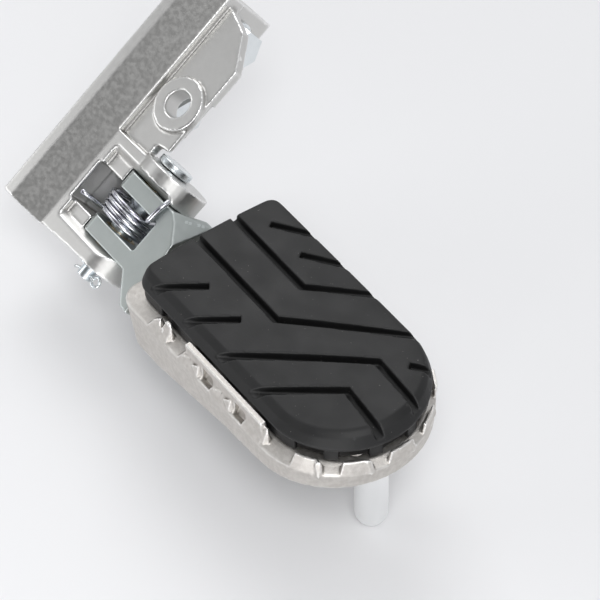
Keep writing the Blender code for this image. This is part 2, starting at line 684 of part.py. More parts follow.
def build_hanger(hinge, aluminium):
    """Cast hanger: frame plate with a web, and the block whose two ears carry the pin."""
    block_face = -CLEVIS_ROOT - 2 * MM
    top_edge = [(block_face, EAR_TOP), (-FRAME_FACE + 4 * MM, PLATE_TOP), (-FRAME_FACE, PLATE_TOP)]
    section = [(-FRAME_FACE, -BLOCK_BOTTOM), (block_face, -BLOCK_BOTTOM)] + top_edge
    block = plate(section, -PLATE_REAR, FRAME_BOLT_REAR - 8.5 * MM, SIDE_VIEW)
    hanger = add("hanger_bracket", block, hinge, aluminium)
    under_web = WEB_TOP - WEB_THICKNESS - 1.5 * MM
    arm_section = [
        (-FRAME_FACE, -PLATE_BOTTOM), (-BOLT_FACE, -PLATE_BOTTOM), (-BOLT_FACE, under_web),
        (block_face, under_web),
    ]
    arm = plate(arm_section + top_edge, FRAME_BOLT_REAR - 11 * MM, PLATE_FRONT, SIDE_VIEW)

    ears = plate([(-FRAME_FACE + 6 * MM, -PLATE_REAR), (EAR_CENTRE, -REAR_EAR_OUTER),
                  (EAR_CENTRE, FRONT_EAR_OUTER - 0.6 * MM),
                  (-CLEVIS_ROOT - 6 * MM, FRONT_EAR_OUTER - 1.2 * MM)], -BLOCK_BOTTOM, EAR_TOP)
    eye_place = at(EAR_CENTRE, 0) @ ALONG_Y
    rear_eye = cylinder(REAR_EAR_RADIUS, -REAR_EAR_OUTER, -HALF_CLEVIS + 1 * MM, eye_place, sides=40)
    front_eye = cylinder(FRONT_EAR_RADIUS, HALF_CLEVIS - 1 * MM, FRONT_EAR_OUTER, eye_place, sides=40)
    web_back = -CLEVIS_ROOT - 4 * MM
    beside_head = -PIN_HEAD_DIAMETER / 2 - 1 * MM
    past_head = FRONT_EAR_OUTER + PIN_HEAD_THICKNESS + 2 * FIT + 0.2 * MM
    web_plan = [
        (web_back, FRONT_EAR_OUTER - 3 * MM), (beside_head, FRONT_EAR_OUTER - 1 * MM), (beside_head, past_head),
        (-WEB_REACH, WEB_REAR), (-WEB_REACH, 52 * MM), (-WEB_REACH - 7.5 * MM, 62 * MM), (web_back, 66 * MM),
    ]
    web = plate(web_plan, WEB_TOP - WEB_THICKNESS, WEB_TOP)
    boss_place = at(-WEB_REACH - 7.9 * MM, WEB_REAR + 12 * MM)
    web_boss = cylinder(WEB_HOLE, WEB_TOP - WEB_THICKNESS - 2 * MM, WEB_TOP + 1.5 * MM, boss_place)
    join(hanger, add("hanger_arm", arm, hinge), add("ears", ears, hinge),
         add("ear_eyes", merged([rear_eye, front_eye]), hinge),
         add("web", web, hinge), add("web_boss", web_boss, hinge))

    rear_stop = STOP_REAR_WIDTH - HALF_CLEVIS
    front_stop = HALF_CLEVIS - STOP_FRONT_WIDTH
    above = 30 * MM
    side_profile = [(-STOP_FACE, -above), (2 * above, -above), (2 * above, above), (0.0, above)]
    side_profile += arc((0.0, 0.0), STOP_FACE, 90, 180, 12)
    pocket = plate(side_profile, -HALF_CLEVIS, HALF_CLEVIS, SIDE_VIEW)
    spring_room = box((-CLEVIS_ROOT, 1 * MM), (rear_stop, front_stop), (-above, above))
    slope = 2.2 * MM
    flare = HALF_CLEVIS + slope
    mouth = [
        (-flare, 2 * EAR_TOP), (-flare, EAR_TOP), (-HALF_CLEVIS, EAR_TOP - slope),
        (HALF_CLEVIS, EAR_TOP - slope), (flare, EAR_TOP), (flare, 2 * EAR_TOP),
    ]
    lead_in = plate(mouth, -CLEVIS_ROOT + 1.2 * MM, 60 * MM, END_VIEW)
    cut(hanger, add("clevis_pocket", pocket, hinge), add("spring_room", spring_room, hinge),
        add("lead_in", lead_in, hinge))
    ramp_foot = 0.5 * MM - BLOCK_BOTTOM
    wedge = [(-CLEVIS_ROOT - 1 * MM, 2 * MM), (-CLEVIS_ROOT - 1 * MM, ramp_foot), (-RAMP_REACH, ramp_foot)]
    ramp = plate(wedge, rear_stop - 1 * MM, front_stop + 1 * MM, SIDE_VIEW)
    join(hanger, add("pocket_ramp", ramp, hinge))

    bores = [cylinder(PIN_BORE, -40 * MM, 40 * MM, ALONG_Y)]
    spot_face = cylinder(REAR_EAR_RADIUS + 0.4 * MM, -40 * MM, -REAR_EAR_OUTER, eye_place, sides=40)
    bores.append(cylinder(WEB_HOLE / 2, -WEB_THICKNESS * 3, EAR_TOP * 2, boss_place))
    for y in BOLT_PLACES:
        place = Matrix.Translation((0, y, FRAME_BOLT_HEIGHT)) @ ALONG_X
        bores.append(cylinder(FRAME_BOLT_DIAMETER / 2 + FIT, -FRAME_FACE - 5 * MM, -10 * MM, place))
    cut(hanger, add("spot_face", spot_face, hinge), add("hanger_bores", merged(bores), hinge))
    return hanger


def build_pin(hinge, zinc):
    """Clevis pin with a flat head and a thinner tail, and the washer on the tail."""
    radius = PIN_DIAMETER / 2
    tail_radius = PIN_TAIL_DIAMETER / 2
    head = FRONT_EAR_OUTER + FIT
    shoulder = -REAR_EAR_OUTER
    tail = shoulder - PIN_TAIL
    head_radius = PIN_HEAD_DIAMETER / 2
    head_face = head + PIN_HEAD_THICKNESS
    profile = [
        (0.0, head_face), (head_radius - 0.5 * MM, head_face), (head_radius, head_face - 0.5 * MM),
        (head_radius, head), (radius, head), (radius, shoulder), (tail_radius, shoulder),
        (tail_radius, tail + 0.6 * MM), (tail_radius - 0.6 * MM, tail), (0.0, tail),
    ]
    pin = turned_piece("pivot_pin", profile, hinge, zinc, ALONG_Y)
    hole = cylinder(SPLIT_WIRE / 2 + FIT, -20 * MM, 20 * MM, split_pin_turn(), sides=16)
    cut(pin, add("split_pin_hole", hole, hinge))
    washer_top = -REAR_EAR_OUTER - FIT
    bore = tail_radius + FIT
    washer = ring(bore, bore + 1.9 * MM, washer_top - PIVOT_WASHER, washer_top, 0.1 * MM)
    turned_piece("pivot_washer", washer, hinge, zinc, ALONG_Y, closed=True)


def split_pin_place():
    """Where the split pin crosses the pivot pin: its eye just clears the washer."""
    return -REAR_EAR_OUTER - 2 * FIT - PIVOT_WASHER - (SPLIT_EYE + SPLIT_WIRE) / 2


def split_pin_turn():
    """The split pin's frame: its z axis runs from the bent legs to the eye."""
    turn = Vector((1.0, 0.0, 0.0)).to_track_quat("Z", "Y").to_matrix().to_4x4()
    return Matrix.Translation((0, split_pin_place(), 0)) @ turn


def build_split_pin(hinge, zinc):
    """Split pin: a round eye, a shank through the pin and two legs bent back round it."""
    eye = SPLIT_EYE / 2
    shank = PIN_TAIL_DIAMETER / 2 + FIT + SPLIT_WIRE / 2
    points = [
        (-1.0 * MM, -shank - 1.6 * MM), (-0.3 * MM, -shank - 0.4 * MM), (0.0, -shank / 2), (0.0, shank / 2),
    ]
    points += arc((0.0, shank + eye), eye, -90, 240, 14)
    curve = bpy.data.curves.new("split_pin", "CURVE")
    curve.dimensions = "3D"
    curve.bevel_depth = SPLIT_WIRE / 2
    curve.bevel_resolution = 2
    curve.use_fill_caps = True
    spline = curve.splines.new("POLY")
    spline.points.add(len(points) - 1)
    for point, (u, v) in zip(spline.points, points):
        point.co = (u, 0.0, v, 1.0)
    split = bpy.data.objects.new("split_pin", curve)
    split.parent = hinge
    split.matrix_local = split_pin_turn()
    curve.materials.append(zinc)
    PARTS.objects.link(split)


def spring_points():
    """The spring's centre line: a leg to the hanger, the coil, a leg across the front arm."""
    radius = (COIL_DIAMETER - WIRE) / 2
    length = SPRING_SLOT - 2 * FIT - WIRE - 0.8 * MM
    seat = Vector((-CLEVIS_ROOT + FIT + WIRE, -length / 2, LEG_HEIGHT))
    start = math.atan2(seat.z, seat.x) + math.acos(radius / math.hypot(seat.x, seat.z))
    turns = COIL_TURNS + 1 - start / math.tau
    foot = Vector((radius * math.cos(start), -length / 2, radius * math.sin(start)))
    points = [seat, seat.lerp(foot, 0.5)]
    steps = int(18 * turns)
    for i in range(steps + 1):
        share = i / steps
        angle = start + math.tau * turns * share
        x = radius * math.cos(angle) - COIL_SKEW * share
        points.append(Vector((x, length * (share - 0.5), radius * math.sin(angle))))
    last = points[-1]
    over = ARM_HALF_HEIGHT + FIT + WIRE / 2
    corner = Vector((SLOT_REACH - FIT - WIRE, last.y, over))
    points.append(last.lerp(corner, 0.5))
    points.append(corner + Vector((-0.2, 0.1, -1.0)) * MM)
    points.append(corner + Vector((0.1, 0.9, 0.0)) * MM)
    points.append(corner + Vector((0.5, 4.5, 0.0)) * MM)
    points.append(Vector((corner.x + 0.9 * MM, HALF_CLEVIS + 1.2 * MM, over)))
    return points


def build_spring(hinge, steel):
    """Torsion spring round the pin between the adapter's arms."""
    curve = bpy.data.curves.new("return_spring", "CURVE")
    curve.dimensions = "3D"
    curve.bevel_depth = WIRE / 2
    curve.bevel_resolution = 2
    curve.use_fill_caps = True
    points = spring_points()
    spline = curve.splines.new("POLY")
    spline.points.add(len(points) - 1)
    for point, place in zip(spline.points, points):
        point.co = (*place, 1.0)
    spring = bpy.data.objects.new("return_spring", curve)
    spring.parent = hinge
    curve.materials.append(steel)
    PARTS.objects.link(spring)


def hexagon(across):
    radius = across / math.sqrt(3)
    return arc((0.0, 0.0), radius, 0, 300, 5)


def build_frame_bolts(hinge, zinc):
    """Bolts and washers that hold the hanger's plate to the frame."""
    for name, y in zip(("rear", "front"), BOLT_PLACES):
        place = Matrix.Translation((0, y, FRAME_BOLT_HEIGHT)) @ ALONG_X
        seat = -BOLT_FACE + FIT
        washer = ring(FRAME_BOLT_DIAMETER / 2 + FIT, 7.0 * MM, seat, seat + WASHER_THICKNESS, 0.2 * MM)
        turned_piece("frame_washer_" + name, washer, hinge, zinc, place, closed=True)
        under = seat + WASHER_THICKNESS + FIT
        tail = -FRAME_FACE - FRAME_BOLT_INTO_FRAME
        radius = FRAME_BOLT_DIAMETER / 2
        profile = [
            (0.0, under + 1 * MM), (radius, under + 1 * MM), (radius, tail + 1 * MM), (radius - 1 * MM, tail),
            (0.0, tail),
        ]
        bolt = turned_piece("frame_bolt_" + name, profile, hinge, zinc, place, steps=24)
        head = add("frame_bolt_head_" + name, plate(hexagon(12 * MM), under, under + 5.0 * MM), hinge)
        head.matrix_local = place
        join(bolt, head)


def build_screws(peg, zinc):
    """Screws and washers that clamp the platform on the adapter's tongue, from below."""
    for name, x in zip(("inner", "outer"), SCREW_PLACES):
        seat = TONGUE_BOTTOM - FIT
        washer = ring(SCREW_DIAMETER / 2 + FIT, 6.0 * MM, seat - WASHER_THICKNESS, seat, 0.2 * MM)
        turned_piece("adapter_washer_" + name, washer, peg, zinc, at(x, 0), closed=True)
        head_top = seat - WASHER_THICKNESS - FIT
        radius = SCREW_DIAMETER / 2
        top = FLOOR_TOP - FIT
        head_low = head_top - SCREW_HEAD_HEIGHT
        profile = [
            (0.0, top), (radius, top), (radius, head_top), (SCREW_HEAD / 2, head_top),
            (SCREW_HEAD / 2, head_low + 0.4 * MM), (SCREW_HEAD / 2 - 0.4 * MM, head_low), (0.0, head_low),
        ]
        screw = turned_piece("adapter_screw_" + name, profile, peg, zinc, at(x, 0), steps=24)
        socket = plate(hexagon(5 * MM), head_low - 1 * MM, head_top - 1.2 * MM)
        key = add("socket_" + name, socket, peg)
        key.matrix_local = at(x, 0)
        cut(screw, key)


def build_feeler(peg, zinc):
    """The feeler bolt, which touches the road first as the motorcycle leans."""
    shoulder = -BOSS_BOTTOM - FIT
    end = shoulder - FEELER_LENGTH
    radius = FEELER_DIAMETER / 2
    thread = FEELER_THREAD / 2
    top = FLOOR_TOP - FIT
    nose = 3.2 * MM
    profile = [
        (0.0, top), (thread, top), (thread, shoulder), (radius - 0.4 * MM, shoulder),
        (radius, shoulder - 0.4 * MM), (radius, end + nose),
    ]
    for i in range(1, 6):
        angle = math.radians(90 * i / 5)
        profile.append((radius * math.cos(angle) if i < 5 else 0.0, end + nose - nose * math.sin(angle)))
    turned_piece("feeler_bolt", profile, peg, zinc, at(FEELER_X, 0))


def main():
    aluminium = finish("cast_aluminium", (0.62, 0.61, 0.59), 1.0, 0.42)
    stainless = finish("cast_stainless", (0.66, 0.63, 0.59), 1.0, 0.55)
    zinc = finish("zinc_plate", (0.62, 0.66, 0.66), 1.0, 0.38)
    rubber = finish("tread_rubber", (0.03, 0.03, 0.032), 0.0, 0.6)
    steel = finish("spring_steel", (0.5, 0.51, 0.53), 1.0, 0.25)
    bronze = finish("bush_bronze", (0.5, 0.36, 0.16), 1.0, 0.4)

    hinge = empty("hinge_axis", HINGE_ORIGIN, (PIN_LEAN, 0.0, 0.0))
    turning = empty("peg_pivot", (0.0, 0.0, 0.0), parent=hinge)
    peg = empty("pad_datum", (0.0, 0.0, 0.0), parent=turning)
    peg.matrix_local = hinge_from_pad()

    build_hanger(hinge, aluminium)
    build_pin(hinge, zinc)
    build_split_pin(hinge, zinc)
    build_spring(hinge, steel)
    build_frame_bolts(hinge, zinc)
    build_adapter(peg, turning, zinc)
    build_bushes(turning, bronze)
    build_casting(peg, stainless)
    build_pad(peg, rubber)
    build_screws(peg, zinc)
    build_feeler(peg, zinc)


clear_scene()
PARTS = new_collection("motorcycle_footpeg")
CUTTERS = new_collection("cutters")
main()
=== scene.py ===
# %% [markdown]
# # A folding motorcycle footpeg
#
# This notebook dresses a working model of a rider's footpeg: a toothed stainless casting with a
# rubber tread pad, hinged in a cast aluminium hanger with a spring round its pin. The solids and
# their motion come ready from the CAD model. What is made here is what the eye sees: rounded
# edges, moulded rubber, wound wire and the finish of every metal.
#
# Loading the frame comes first, because each piece is placed by the solids and later turns with
# one of their bodies. The box of the solids is kept, to compare with the finished model at the end.

import json
import math

import bmesh
import bpy
from mathutils import Matrix, Vector

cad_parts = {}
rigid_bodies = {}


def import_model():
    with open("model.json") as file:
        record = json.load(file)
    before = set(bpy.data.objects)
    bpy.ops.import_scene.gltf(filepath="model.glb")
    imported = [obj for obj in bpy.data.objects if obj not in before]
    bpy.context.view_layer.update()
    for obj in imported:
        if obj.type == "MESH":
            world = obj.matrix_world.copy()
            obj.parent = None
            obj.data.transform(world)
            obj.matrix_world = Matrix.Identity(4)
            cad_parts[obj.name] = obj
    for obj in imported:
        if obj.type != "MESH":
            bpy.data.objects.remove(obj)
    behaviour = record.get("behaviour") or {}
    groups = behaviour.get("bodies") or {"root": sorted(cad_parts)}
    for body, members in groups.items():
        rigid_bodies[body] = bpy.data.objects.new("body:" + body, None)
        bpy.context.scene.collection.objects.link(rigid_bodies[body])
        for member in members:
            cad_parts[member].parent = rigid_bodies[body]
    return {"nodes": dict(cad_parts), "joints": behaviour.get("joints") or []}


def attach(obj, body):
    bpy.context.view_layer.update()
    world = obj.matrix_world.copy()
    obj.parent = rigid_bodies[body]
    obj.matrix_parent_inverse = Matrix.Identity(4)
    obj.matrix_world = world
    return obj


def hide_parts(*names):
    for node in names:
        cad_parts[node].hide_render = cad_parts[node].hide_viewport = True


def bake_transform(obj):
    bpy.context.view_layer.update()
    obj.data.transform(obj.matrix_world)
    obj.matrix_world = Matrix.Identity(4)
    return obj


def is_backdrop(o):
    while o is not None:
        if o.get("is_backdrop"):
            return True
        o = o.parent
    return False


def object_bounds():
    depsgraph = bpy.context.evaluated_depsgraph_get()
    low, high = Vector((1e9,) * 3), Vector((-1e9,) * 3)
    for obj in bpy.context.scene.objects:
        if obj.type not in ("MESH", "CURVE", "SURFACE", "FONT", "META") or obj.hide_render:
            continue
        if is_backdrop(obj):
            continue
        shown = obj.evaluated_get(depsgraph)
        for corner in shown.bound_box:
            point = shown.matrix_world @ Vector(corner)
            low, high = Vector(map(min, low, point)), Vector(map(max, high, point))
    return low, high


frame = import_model()
solid_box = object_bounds()
MM = 0.001

# %% [markdown]
# ## The camera
#
# The footpeg was photographed from above its outer rear corner, with a long lens that hardly
# shows perspective. A camera is a position and three directions: what is right, what is up, and
# what lies behind it. Writing these as the columns of a matrix is more exact than aiming the
# camera with angles, because the picture was also tilted by two degrees.

# %% Camera
camera = bpy.data.objects.new("camera", bpy.data.cameras.new("camera"))
bpy.context.scene.collection.objects.link(camera)
bpy.context.scene.camera = camera
camera.data.lens = 131.24
camera.data.sensor_width = 36.0
camera.data.clip_start = 0.01

CAMERA_PLACE = (0.4224, -0.25597, 0.4452)
right = Vector((0.5967, 0.80213, -0.02297)).normalized()
forward = Vector((-0.54001, 0.38021, -0.75089)).normalized()
up = right.cross(forward).normalized()
turn = Matrix((right, up, -forward)).transposed().to_4x4()
camera.matrix_world = Matrix.Translation(CAMERA_PLACE) @ turn
print("camera is", round(camera.location.length, 3), "m from the mounting point")

# %% [markdown]
# ## Two frames to work in
#
# The pad and its casting are easiest to describe from the pad's own inner edge, and the hinge
# from the middle of its pin. The pin leans forward and up by 34 degrees. Each frame is a matrix
# that turns its own coordinates into those of the model, so a piece is drawn upright in
# millimetres and then put in place in one step.

# %% Frames of the pad and the hinge
PIN_MIDDLE = Vector(frame["joints"][0]["pos_m"])
PIN_LEAN = math.radians(34.0)
PIN_FROM_PAD = Vector((-28.4, -6.8, -11.1)) * MM

pad_frame = Matrix.Translation(PIN_MIDDLE - PIN_FROM_PAD)
hinge_frame = Matrix.Translation(PIN_MIDDLE) @ Matrix.Rotation(PIN_LEAN, 4, "X")

# %% [markdown]
# ## Fine metal grain
#
# Cast and blasted metal is never flat: sand or shot leaves a skin of tiny dimples, with broader
# waves below them. An image could hold that, but it would blur close up and need unwrapping.
# Noise textures work at any distance, so this effect is a node group that adds three noises of
# different sizes. It gives a height for bump and a mask that runs from 0 to 1 for colour. Every
# metal uses it with its own scale.

# %% Helpers for node groups
def new_group(name, inputs, outputs):
    """A shader node group with named number inputs and outputs, and its two end nodes."""
    group = bpy.data.node_groups.new(name, "ShaderNodeTree")
    for label, value in inputs:
        socket = group.interface.new_socket(label, in_out="INPUT", socket_type="NodeSocketFloat")
        socket.default_value = value
    for label, kind in outputs:
        group.interface.new_socket(label, in_out="OUTPUT", socket_type=kind)
    return group, group.nodes.new("NodeGroupInput"), group.nodes.new("NodeGroupOutput")


def math_node(tree, operation, first, second=None, third=None, clamp=False):
    """A Math node whose inputs are sockets or plain numbers."""
    node = tree.nodes.new("ShaderNodeMath")
    node.operation = operation
    node.use_clamp = clamp
    for socket, value in zip(node.inputs, (first, second, third)):
        if value is None:
            continue
        if isinstance(value, bpy.types.NodeSocket):
            tree.links.new(value, socket)
        else:
            socket.default_value = value
    return node.outputs[0]


def noise_node(tree, place, scale, detail, roughness=0.5):
    """A noise texture in the object's own space; its scale may be a socket."""
    node = tree.nodes.new("ShaderNodeTexNoise")
    node.inputs["Detail"].default_value = detail
    node.inputs["Roughness"].default_value = roughness
    if isinstance(scale, bpy.types.NodeSocket):
        tree.links.new(scale, node.inputs["Scale"])
    else:
        node.inputs["Scale"].default_value = scale
    tree.links.new(place, node.inputs["Vector"])
    return node.outputs["Fac"]


def span(tree, value, low, high, new_low=0.0, new_high=1.0):
    """A value mapped from one span to another and held inside it."""
    node = tree.nodes.new("ShaderNodeMapRange")
    tree.links.new(value, node.inputs["Value"])
    for label, number in (("From Min", low), ("From Max", high), ("To Min", new_low), ("To Max", new_high)):
        node.inputs[label].default_value = number
    return node.outputs["Result"]


# %% Group: metal grain
MIDDLE_SCALE, BROAD_SCALE, MIDDLE_WEIGHT = 0.28, 0.05, 0.7


def make_grain_group():
    """Sandy dimples over broader waves, for cast and blasted metal."""
    group, start, end = new_group(
        "metal_grain", [("Scale", 2200.0), ("Waves", 0.4)],
        [("Height", "NodeSocketFloat"), ("Mask", "NodeSocketFloat")])
    place = group.nodes.new("ShaderNodeTexCoord").outputs["Object"]
    fine = noise_node(group, place, start.outputs["Scale"], detail=3.0, roughness=0.6)
    middle_scale = math_node(group, "MULTIPLY", start.outputs["Scale"], MIDDLE_SCALE)
    middle = noise_node(group, place, middle_scale, detail=2.0)
    broad_scale = math_node(group, "MULTIPLY", start.outputs["Scale"], BROAD_SCALE)
    broad = noise_node(group, place, broad_scale, detail=1.0)
    both = math_node(group, "ADD", fine, math_node(group, "MULTIPLY", middle, MIDDLE_WEIGHT))
    waved = math_node(group, "MULTIPLY_ADD", broad, start.outputs["Waves"], both)
    group.links.new(waved, end.inputs["Height"])
    group.links.new(span(group, middle, 0.38, 0.66), end.inputs["Mask"])
    return group


grain_group = make_grain_group()
print("group:", grain_group.name, [socket.name for socket in grain_group.interface.items_tree])

# %% [markdown]
# ## Worn edges and painted shade
#
# Boots, road grit and assembly polish the corners of every metal piece first. Cycles knows how
# convex a surface is at each vertex, which is called pointiness. Mapping it to a mask makes the
# corners brighter and smoother, and a noise breaks the line up so the wear isn't even. A second
# mask from the same pointiness marks concave corners, where shade is painted into the colour. It
# works here because the pieces below have small, closely spaced faces at their corners.

# %% Group: edge wear and painted shade
FLAT_LOW, FLAT_HIGH = 0.49, 0.505


def make_wear_and_shade_group():
    """A mask that is 1 on convex corners, broken up by noise, and one for concave corners to paint shade in.
    """
    group, start, end = new_group(
        "edge_wear_and_shade", [("Width", 0.04), ("Breakup", 0.5), ("Noise Scale", 500.0)],
        [("Mask", "NodeSocketFloat"), ("Crease Shade", "NodeSocketFloat")])
    place = group.nodes.new("ShaderNodeTexCoord").outputs["Object"]
    pointed = group.nodes.new("ShaderNodeNewGeometry").outputs["Pointiness"]
    above = math_node(group, "SUBTRACT", pointed, FLAT_HIGH)
    corner = math_node(group, "DIVIDE", above, start.outputs["Width"], clamp=True)
    speckle = noise_node(group, place, start.outputs["Noise Scale"], detail=4.0, roughness=0.65)
    lost = math_node(group, "MULTIPLY", speckle, start.outputs["Breakup"])
    kept = math_node(group, "SUBTRACT", 1.0, lost)
    group.links.new(math_node(group, "MULTIPLY", corner, kept, clamp=True), end.inputs["Mask"])
    # The second mask marks concave corners, where shade is painted into the colour.
    below = math_node(group, "SUBTRACT", FLAT_LOW, pointed)
    crease_shade = math_node(group, "DIVIDE", below, start.outputs["Width"], clamp=True)
    group.links.new(crease_shade, end.inputs["Crease Shade"])
    return group


wear_and_shade_group = make_wear_and_shade_group()
print("group:", wear_and_shade_group.name)

# %% [markdown]
# ## A recipe for every metal
#
# Each metal here is the same idea with other numbers: a colour that drifts a little with the
# grain, brighter where edges are worn, darker in the hollows, where shade is painted in, and a
# roughness that follows. One function builds that, so the finishes differ only in the values that
# are passed to it. The Principled shader stays in the material, and the groups only feed it.

# %% Helpers for materials
# A Mix node has sockets for every kind of value, so those for colours are found by number.
COLOUR_A, COLOUR_B, COLOUR_RESULT = 6, 7, 2


def use(tree, group, **values):
    """Place a node group in a material and set its inputs."""
    node = tree.nodes.new("ShaderNodeGroup")
    node.node_tree = group
    for label, value in values.items():
        node.inputs[label.replace("_", " ")].default_value = value
    return node


def mix_colour(tree, share, first, second):
    """A colour between two, each a socket or a plain colour."""
    node = tree.nodes.new("ShaderNodeMix")
    node.data_type = "RGBA"
    tree.links.new(share, node.inputs["Factor"])
    for socket, value in ((node.inputs[COLOUR_A], first), (node.inputs[COLOUR_B], second)):
        if isinstance(value, bpy.types.NodeSocket):
            tree.links.new(value, socket)
        else:
            socket.default_value = (*value, 1.0)
    return node.outputs[COLOUR_RESULT]


def new_material(name):
    """A material with its node tree and its Principled shader."""
    material = bpy.data.materials.new(name)
    material.use_nodes = True
    tree = material.node_tree
    return material, tree, tree.nodes["Principled BSDF"]


def bump_from(tree, shader, height, distance):
    """Bump from a height, as deep as the distance in metres."""
    bump = tree.nodes.new("ShaderNodeBump")
    bump.inputs["Distance"].default_value = distance
    bump.inputs["Strength"].default_value = 1.0
    tree.links.new(height, bump.inputs["Height"])
    tree.links.new(bump.outputs["Normal"], shader.inputs["Normal"])


# %% Metal finish
GRAIN_WAVES, WEAR_AND_SHADE_WIDTH, WEAR_BREAKUP, WEAR_SCALE = 0.4, 0.04, 0.5, 0.25
ROUGHNESS_DRIFT = 0.06


def metal(name, colour, drift, worn, painted_shade, roughness, worn_roughness, grain, depth):
    """A metal: its colour drifts to another with the grain, wears bright at corners, and has shade painted
    into its hollows.
    """
    material, tree, shader = new_material(name)
    shader.inputs["Metallic"].default_value = 1.0
    sand = use(tree, grain_group, Scale=grain, Waves=GRAIN_WAVES)
    wear_and_shade = use(
        tree, wear_and_shade_group, Width=WEAR_AND_SHADE_WIDTH, Breakup=WEAR_BREAKUP, Noise_Scale=grain * WEAR_SCALE)
    base = mix_colour(tree, sand.outputs["Mask"], colour, drift)
    # Shade is painted into the concave corners here: the colour is darkened towards the shade colour.
    shaded_colour = mix_colour(tree, wear_and_shade.outputs["Crease Shade"], base, painted_shade)
    bright = mix_colour(tree, wear_and_shade.outputs["Mask"], shaded_colour, worn)
    tree.links.new(bright, shader.inputs["Base Color"])
    change = math_node(tree, "MULTIPLY", wear_and_shade.outputs["Mask"], worn_roughness - roughness)
    rough = math_node(
        tree, "MULTIPLY_ADD", sand.outputs["Mask"], ROUGHNESS_DRIFT, roughness - ROUGHNESS_DRIFT / 2)
    tree.links.new(math_node(tree, "ADD", rough, change, clamp=True), shader.inputs["Roughness"])
    bump_from(tree, shader, sand.outputs["Height"], depth)
    return material


# %% [markdown]
# ## The metals of the footpeg
#
# The platform is cast stainless steel, bead-blasted to a warm, sandy grey, and its teeth are
# rubbed bright. The adapter is forged steel with satin zinc plate that has a faint green cast.
# The hanger is cast aluminium. Bolts, washers and the clevis pin carry a bluer, brighter zinc,
# and the small bushes inside the arms are sintered bronze. The feeler bolt has a lighter copy of
# that zinc, whose extra lightness is a painted highlight for the strong light on it.

# %% Stainless, zinc, aluminium and bronze
stainless = metal(
    "blasted_stainless", colour=(0.55, 0.525, 0.495), drift=(0.63, 0.605, 0.575), worn=(0.93, 0.92, 0.90),
    painted_shade=(0.17, 0.155, 0.14), roughness=0.48, worn_roughness=0.26, grain=2600.0, depth=0.00010)
satin_zinc = metal(
    "satin_zinc", colour=(0.42, 0.45, 0.44), drift=(0.44, 0.47, 0.46), worn=(0.62, 0.66, 0.65),
    painted_shade=(0.24, 0.26, 0.25), roughness=0.44, worn_roughness=0.34, grain=1300.0, depth=0.000012)
aluminium = metal(
    "cast_aluminium", colour=(0.62, 0.615, 0.60), drift=(0.635, 0.63, 0.615), worn=(0.95, 0.95, 0.94),
    painted_shade=(0.30, 0.29, 0.28), roughness=0.38, worn_roughness=0.24, grain=2600.0, depth=0.000006)
bright_zinc = metal(
    "bright_zinc", colour=(0.60, 0.65, 0.68), drift=(0.62, 0.67, 0.70), worn=(0.86, 0.89, 0.90),
    painted_shade=(0.20, 0.23, 0.25), roughness=0.30, worn_roughness=0.20, grain=1800.0, depth=0.000002)
# The feeler gets a lighter copy of the bright zinc: its extra lightness is a painted highlight for the
# strong light on it.
feeler_zinc_painted_light = metal(
    "feeler_zinc_painted_light", colour=(0.90, 0.91, 0.91), drift=(0.90, 0.91, 0.91), worn=(0.95, 0.95, 0.95),
    painted_shade=(0.60, 0.61, 0.62), roughness=0.34, worn_roughness=0.30, grain=1800.0, depth=0.000001)
bronze = metal(
    "sintered_bronze", colour=(0.36, 0.25, 0.11), drift=(0.45, 0.32, 0.15), worn=(0.62, 0.47, 0.24),
    painted_shade=(0.12, 0.08, 0.04), roughness=0.48, worn_roughness=0.30, grain=3200.0, depth=0.00002)
print("metals:", [m.name for m in (stainless, satin_zinc, aluminium, bright_zinc, feeler_zinc_painted_light, bronze)])

# %% [markdown]
# ## Spring wire
#
# Spring wire is drawn through a die and plated, so it is glossy and carries faint marks. No
# texture space follows the turns of a wound wire by itself. A simple way that also exports is a
# tight noise for the drawn skin and a broad one for the violet and bluish tints of the plating.

# %% Spring steel
def make_spring_steel():
    """Glossy plated wire whose tint drifts along the coil."""
    material, tree, shader = new_material("spring_steel")
    shader.inputs["Metallic"].default_value = 1.0
    skin = use(tree, grain_group, Scale=2400.0, Waves=0.2)
    place = tree.nodes.new("ShaderNodeTexCoord").outputs["Object"]
    tint = span(tree, noise_node(tree, place, 260.0, detail=1.0), 0.35, 0.65)
    tinted = mix_colour(tree, tint, (0.40, 0.39, 0.46), (0.54, 0.56, 0.60))
    drawn = mix_colour(tree, skin.outputs["Mask"], tinted, (0.64, 0.65, 0.67))
    tree.links.new(drawn, shader.inputs["Base Color"])
    tree.links.new(span(tree, skin.outputs["Mask"], 0.0, 1.0, 0.14, 0.24), shader.inputs["Roughness"])
    bump_from(tree, shader, skin.outputs["Height"], 0.000006)
    return material


spring_steel = make_spring_steel()
print("wire:", spring_steel.name)

# %% [markdown]
# ## Tread rubber
#
# Moulded rubber takes the skin of its mould: a satin black with the faintest pebble. It never
# renders black, because its surface scatters light at low angles. Dust settles on it unevenly, so
# a broad noise lifts the colour by a hair, and shade is painted into the hollows of the grooves,
# so that they stay darkest. Fine specks of pale grit are what the eye reads as a used object.

